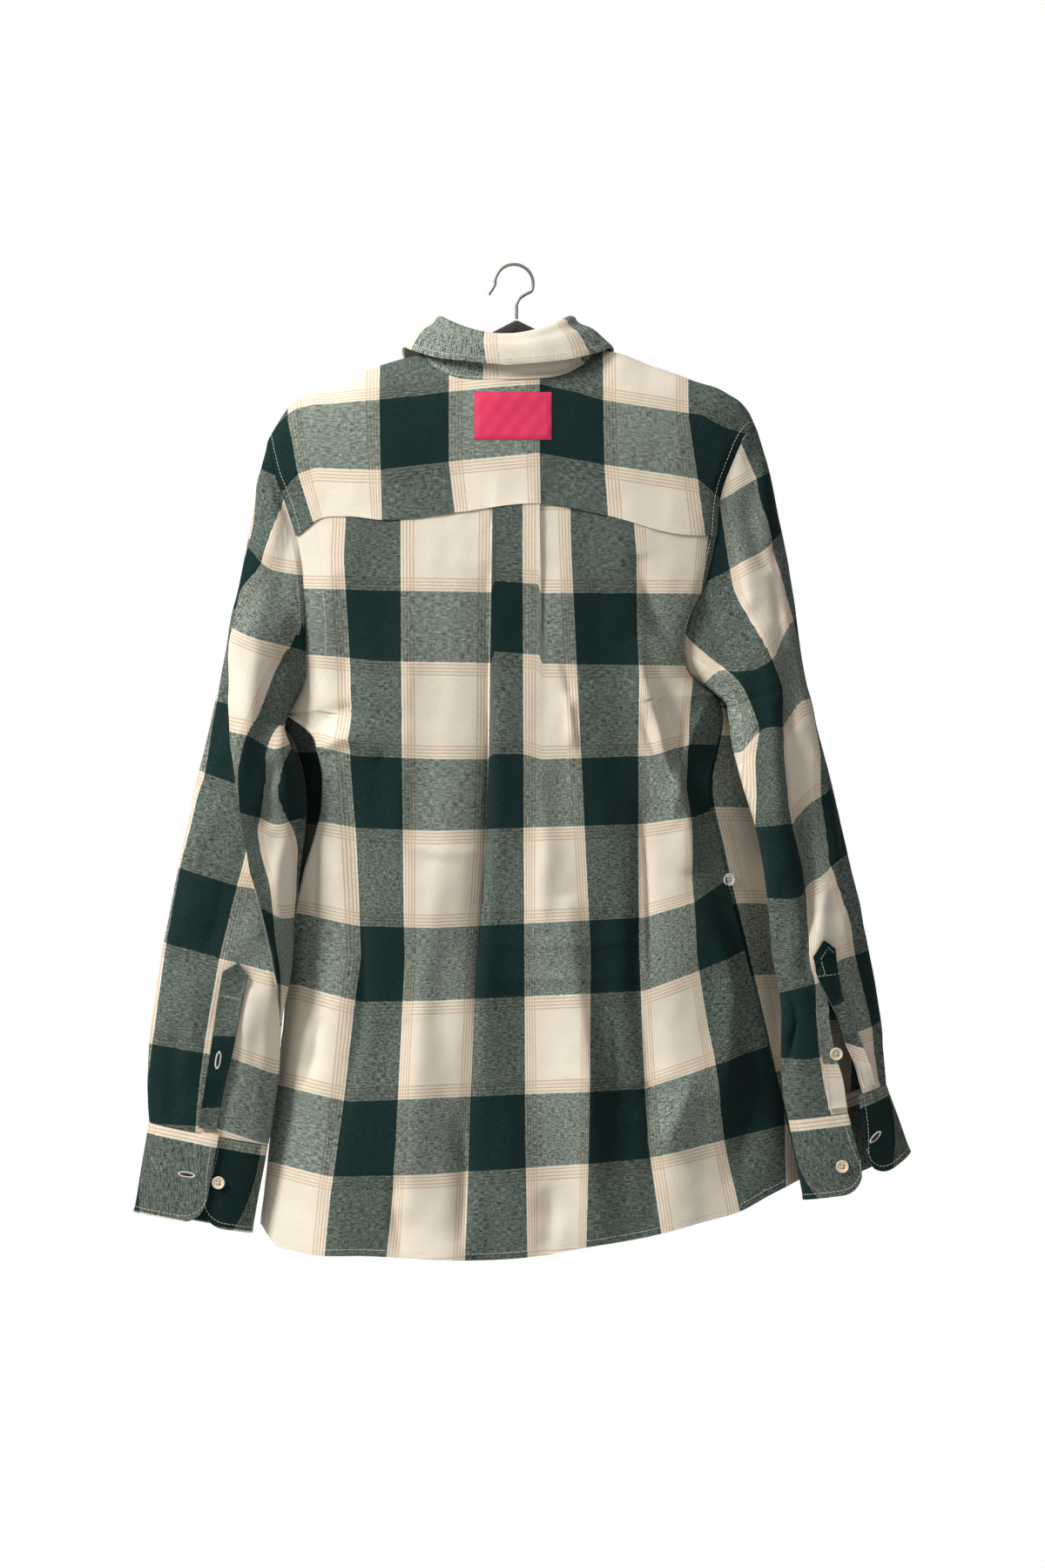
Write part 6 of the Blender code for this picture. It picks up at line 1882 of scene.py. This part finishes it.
def makeButtons():
    looks["creamButton"] = buttonLook("creamButton", (0.80, 0.68, 0.50), (0.66, 0.52, 0.35))
    looks["whiteButton"] = buttonLook("whiteButton", (0.90, 0.89, 0.86), (0.78, 0.76, 0.72))
    shape = buttonShape()
    threads = []
    for name in sorted(n for n in nodes if "button" in n):
        centre, normal = placeOf(name)
        disc = shape.copy()
        disc.data = shape.data.copy()
        first, *rest = name.split("_")
        disc.name = disc.data.name = first + "".join(word.capitalize() for word in rest)
        bpy.context.scene.collection.objects.link(disc)
        foot = centre - normal * button["thick"] / 2
        disc.data.transform(Matrix.Translation(Vector(foot)) @ turnTo(normal))
        white = name == "side_button"
        disc.data.materials.append(looks["whiteButton" if white else "creamButton"])
        settle(disc, name)
        threads += crossThreads(centre, normal)
    bpy.data.objects.remove(shape)
    sewRows("buttonThreads", threads, shape={"length": 0.0031, "gap": 0.0002, "thick": 0.0005})


makeButtons()
print("buttons made")

# buttonholes and the bars above the slits

buttonholes = {
    # piece, centre, the way it runs, half its length in metres
    "gauntletHole": ("gauntletLeft", (-257.3, -690.8), (-0.16, -1.0), 0.0064),
    "cuffHoleLeft": ("cuffLeft", (-285.0, -790.4), (1.0, -0.12), 0.0062),
    "cuffHoleRight": ("cuffRight", (311.6, -757.7), (1.0, 1.0), 0.0054),
}
binding = {"count": 16, "bulge": 0.0012, "reach": 0.0015, "endReach": 0.0014, "ends": (-0.0007, 0.0, 0.0007),
           "thread": {"length": 0.0014, "gap": 0.0001, "thick": 0.0008}, "slitShare": 0.95}
bars = {
    "gauntletLeft": ((-258.4, -634.6), (-247.8, -636.1), (-236.4, -638.4)),
    "gauntletRight": ((253.8, -618.6), (268.3, -617.1), (281.2, -615.6)),
}


def makeButtonhole(name, piece, centre, axis, half):
    # a slit bound with close stitches on both sides and across its ends; a near-black stitch along it is
    # painted shade in the opening
    centre, axis = np.array(centre) * mm, np.array(axis) / np.linalg.norm(axis)
    side = np.array((-axis[1], axis[0]))
    starts, ways = [], []
    for way in (-1, 1):
        for along in np.linspace(-half, half, binding["count"]):
            bulge = binding["bulge"] * math.sqrt(1 - (along / half) ** 2)
            starts.append(centre + axis * along + side * way * bulge)
            ways.append(side * way * binding["reach"])
        for off in binding["ends"]:
            starts.append(centre + axis * way * half + side * off)
            ways.append(axis * way * binding["endReach"])
    starts, ways = np.array(starts), np.array(ways)
    ends = np.stack([starts, starts + ways], axis=1)
    places, normals = surfaceUnder(piece, ends[..., 0], ends[..., 1])
    sewRows(name, list(zip(places, normals)), "whiteThread", binding["thread"])
    # painted shade: a near-black stitch along the slit stands in for the shadow inside the opening
    slit = np.linspace(centre - axis * half, centre + axis * half, 2)
    places, normals = surfaceUnder(piece, slit[:, 0], slit[:, 1])
    sewRows(name + "Slit", [(places, normals)], "darkThread",
            {"length": 2 * half * binding["slitShare"], "gap": 0.0001, "thick": 0.0016})


# near-black thread look used only along the buttonhole slits, as painted shade of the opening
looks["darkThread"] = threadLook("darkThread", (0.010, 0.012, 0.012))
looks["whiteThread"] = threadLook("whiteThread", (0.86, 0.83, 0.76))
for name, (piece, centre, axis, half) in buttonholes.items():
    makeButtonhole(name, piece, centre, axis, half)
sewRows("barStitches", [drawnRow(piece, path, count=24) for piece, path in bars.items()])
print("buttonholes sewn")

# hanger

hanger = {"wire": 0.0014, "radius": 0.0167, "centre": (-0.0015, -0.0153), "peak": (0.0008, -0.0470),
          "tips": (-0.190, 0.192), "height": 0.011, "thick": 0.008, "belowRidge": 0.0060,
          "neckHalf": 0.084, "neckSink": 0.007, "powers": (0.7, 0.6), "sides": 24, "columns": 150,
          "hookStart": ((-0.0236, 0.0, -0.0250), (-0.0200, 0.0, -0.0195)),
          "turn": (183, -22), "turnPoints": 15,
          "hookEnd": ((0.0090, 0.0, -0.0246), (0.0036, 0.0, -0.0284), (0.0012, 0.0, -0.0325),
                      (0.0008, 0.0, -0.0390)), "hookPoints": 110, "hookStop": 0.0006, "weld": 0.00003}


def wireLook():
    look, tree, shader = newLook("hookWire", {"Metallic": 0.75, "Specular IOR Level": 0.3})
    place = placeIn(tree)
    streak = noiseOf(tree, place, 380.0, 3.0, 0.6)
    fine = noiseOf(tree, place, 1500.0, 1.0)
    colour = mixColours(tree, streak, (0.28, 0.255, 0.22, 1), (0.38, 0.35, 0.30, 1))
    finishLook(tree, shader, colour, 0.40 + streak * 0.10, fine, 0.02, 0.0001)
    return look


def velvetLook():
    look, tree, shader = newLook("hangerVelvet", {"Sheen Weight": 0.5, "Sheen Roughness": 0.4,
                                                  "Specular IOR Level": 0.15})
    place = placeIn(tree)
    pile = noiseOf(tree, place, 1500.0, 2.0)
    broad = noiseOf(tree, place, 60.0, 2.0)
    colour = mixColours(tree, (pile * 0.8 + broad * 0.3 - 0.1).held(), (0.030, 0.026, 0.026, 1),
                        (0.075, 0.066, 0.066, 1))
    finishLook(tree, shader, colour, 0.86 + broad * 0.1, pile, 0.5, 0.0006)
    return look


def makeHook():
    cx, cz = hanger["centre"]
    points = list(hanger["hookStart"])
    for degrees in np.linspace(*hanger["turn"], hanger["turnPoints"]):
        angle = math.radians(degrees)
        points.append((cx + hanger["radius"] * math.cos(angle), 0.0, cz + hanger["radius"] * math.sin(angle)))
    x, z = hanger["peak"]
    points += [*hanger["hookEnd"], (x, 0.0, z + hanger["hookStop"])]
    path = placeAlong(points, np.linspace(0, 1, hanger["hookPoints"]))
    line = bpy.data.curves.new("hangerHook", "CURVE")
    line.dimensions = "3D"
    line.bevel_depth = hanger["wire"]
    line.bevel_resolution = 6
    line.use_fill_caps = True
    spline = line.splines.new("POLY")
    spline.points.add(len(path) - 1)
    for point, place in zip(spline.points, path):
        point.co = (*place, 1.0)
    wire = bpy.data.objects.new("hangerHook", line)
    bpy.context.scene.collection.objects.link(wire)
    bpy.ops.object.select_all(action="DESELECT")
    wire.select_set(True)
    bpy.context.view_layer.objects.active = wire
    bpy.ops.object.convert(target="MESH")
    wire = bpy.context.object
    bpy.ops.object.shade_smooth_by_angle(angle=math.radians(60))
    wire.data.materials.clear()
    wire.data.materials.append(wireLook())
    return settle(wire, "hanger_hook")


def makeHanger():
    left, right = hanger["tips"]
    x = np.linspace(left, right, hanger["columns"])
    middle, peak = hanger["peak"]
    off = np.abs(x - middle) / hanger["neckHalf"]
    top = ridgeAt(x) - hanger["belowRidge"] - hanger["neckSink"] * ease(2 - off)
    foot = ridgeAt(middle + np.sign(x - middle) * hanger["neckHalf"])
    foot = foot - hanger["belowRidge"] - hanger["neckSink"]
    top = np.where(off < 1, peak + (foot - peak) * np.clip(off, 0, 1), top)
    end = np.sqrt(np.clip(np.minimum(x - left, right - x) / hanger["height"], 0.0, 1))
    half = hanger["height"] / 2
    rows = []
    powerY, powerZ = hanger["powers"]
    for turn in np.linspace(0, 2 * math.pi, hanger["sides"] + 1)[:-1]:
        c, s = math.cos(turn), math.sin(turn)
        y = hanger["thick"] / 2 * np.sign(s) * abs(s) ** powerY * end
        rows.append(np.stack([x, y, top - half + half * np.sign(c) * abs(c) ** powerZ * end], axis=-1))
    points = np.array(rows + rows[:1])
    bpy.ops.object.select_all(action="DESELECT")
    down, across = (size - 1 for size in points.shape[:2])
    bpy.ops.mesh.primitive_grid_add(x_subdivisions=across, y_subdivisions=down, size=1)
    bar = bpy.context.object
    bar.name = bar.data.name = "hangerBody"
    bar.data.vertices.foreach_set("co", points.reshape(-1))
    mesh = bmesh.new()
    mesh.from_mesh(bar.data)
    bmesh.ops.remove_doubles(mesh, verts=mesh.verts, dist=hanger["weld"])
    bmesh.ops.recalc_face_normals(mesh, faces=mesh.faces)
    mesh.to_mesh(bar.data)
    mesh.free()
    bpy.ops.object.shade_smooth_by_angle(angle=math.radians(60))
    bar.data.materials.clear()
    bar.data.materials.append(velvetLook())
    return settle(bar, "hanger_body")


makeHook()
makeHanger()
print("hanger made")

# floor, light and camera


def plainLook(name, colour):
    return newLook(name, {"Roughness": 0.9, "Base Color": (*colour, 1)})[0]


def makeRoom():
    bpy.ops.object.select_all(action="DESELECT")
    bpy.ops.mesh.primitive_plane_add(size=3.0, location=(0, 0, -1.6))
    floor = bpy.context.object
    floor.name = "floor"
    floor.data.materials.append(plainLook("paleFloor", (0.86, 0.86, 0.85)))
    world = bpy.data.worlds.new("studio")
    world.use_nodes = True
    tree = world.node_tree
    sky = tree.nodes["Background"]
    sky.inputs["Color"].default_value = (1, 1, 1, 1)
    sky.inputs["Strength"].default_value = 0.22
    seen = addNode(tree, "ShaderNodeBackground", {}, {"Color": (1, 1, 1, 1), "Strength": 1.0})
    rays = addNode(tree, "ShaderNodeLightPath", {}, {})
    mix = addNode(tree, "ShaderNodeMixShader", {}, {0: Wire(tree, rays.outputs["Is Camera Ray"])})
    tree.links.new(sky.outputs[0], mix.inputs[1])
    tree.links.new(seen.outputs[0], mix.inputs[2])
    tree.links.new(mix.outputs[0], tree.nodes["World Output"].inputs[0])
    bpy.context.scene.world = world


def addLamp(name, place, aim, size, power):
    lamp = bpy.data.lights.new(name, "AREA")
    lamp.shape = "RECTANGLE"
    lamp.size, lamp.size_y = size
    lamp.energy = power
    holder = bpy.data.objects.new(name, lamp)
    bpy.context.scene.collection.objects.link(holder)
    holder.location = place
    holder.rotation_euler = (Vector(aim) - Vector(place)).to_track_quat("-Z", "Y").to_euler()


makeRoom()
lamps = {
    # place, what it lights, size in metres, power in watts
    "keyLight": ((-2.5, -1.45, 1.5), (0, 0, -0.30), (0.8, 1.0), 158),
    "fillLight": ((2.2, -2.6, 0.0), (0, 0, -0.45), (1.8, 2.2), 9),
    "topLight": ((0.0, -0.9, 2.0), (0, 0, -0.4), (1.6, 1.2), 15),
    "backLight": ((0.4, 2.6, 0.8), (0, 0, -0.4), (1.8, 1.8), 26),
}
for name, lamp in lamps.items():
    addLamp(name, *lamp)

camera = {"distance": 5.0, "centre": (0.006, -0.452), "seen": 1.368, "sensor": 36.0}
lens = bpy.data.cameras.new("camera")
lens.sensor_width = camera["sensor"]
lens.lens = camera["sensor"] / 2 / (camera["seen"] / 2 / camera["distance"])
eye = bpy.data.objects.new("camera", lens)
bpy.context.scene.collection.objects.link(eye)
eye.location = (camera["centre"][0], -camera["distance"], camera["centre"][1])
eye.rotation_euler = (math.radians(90), 0, 0)
bpy.context.scene.camera = eye
bpy.context.scene.view_settings.view_transform = "Standard"

print("triangles:", sum(sum(len(p.vertices) - 2 for p in o.data.polygons) for o in pieces.values()))
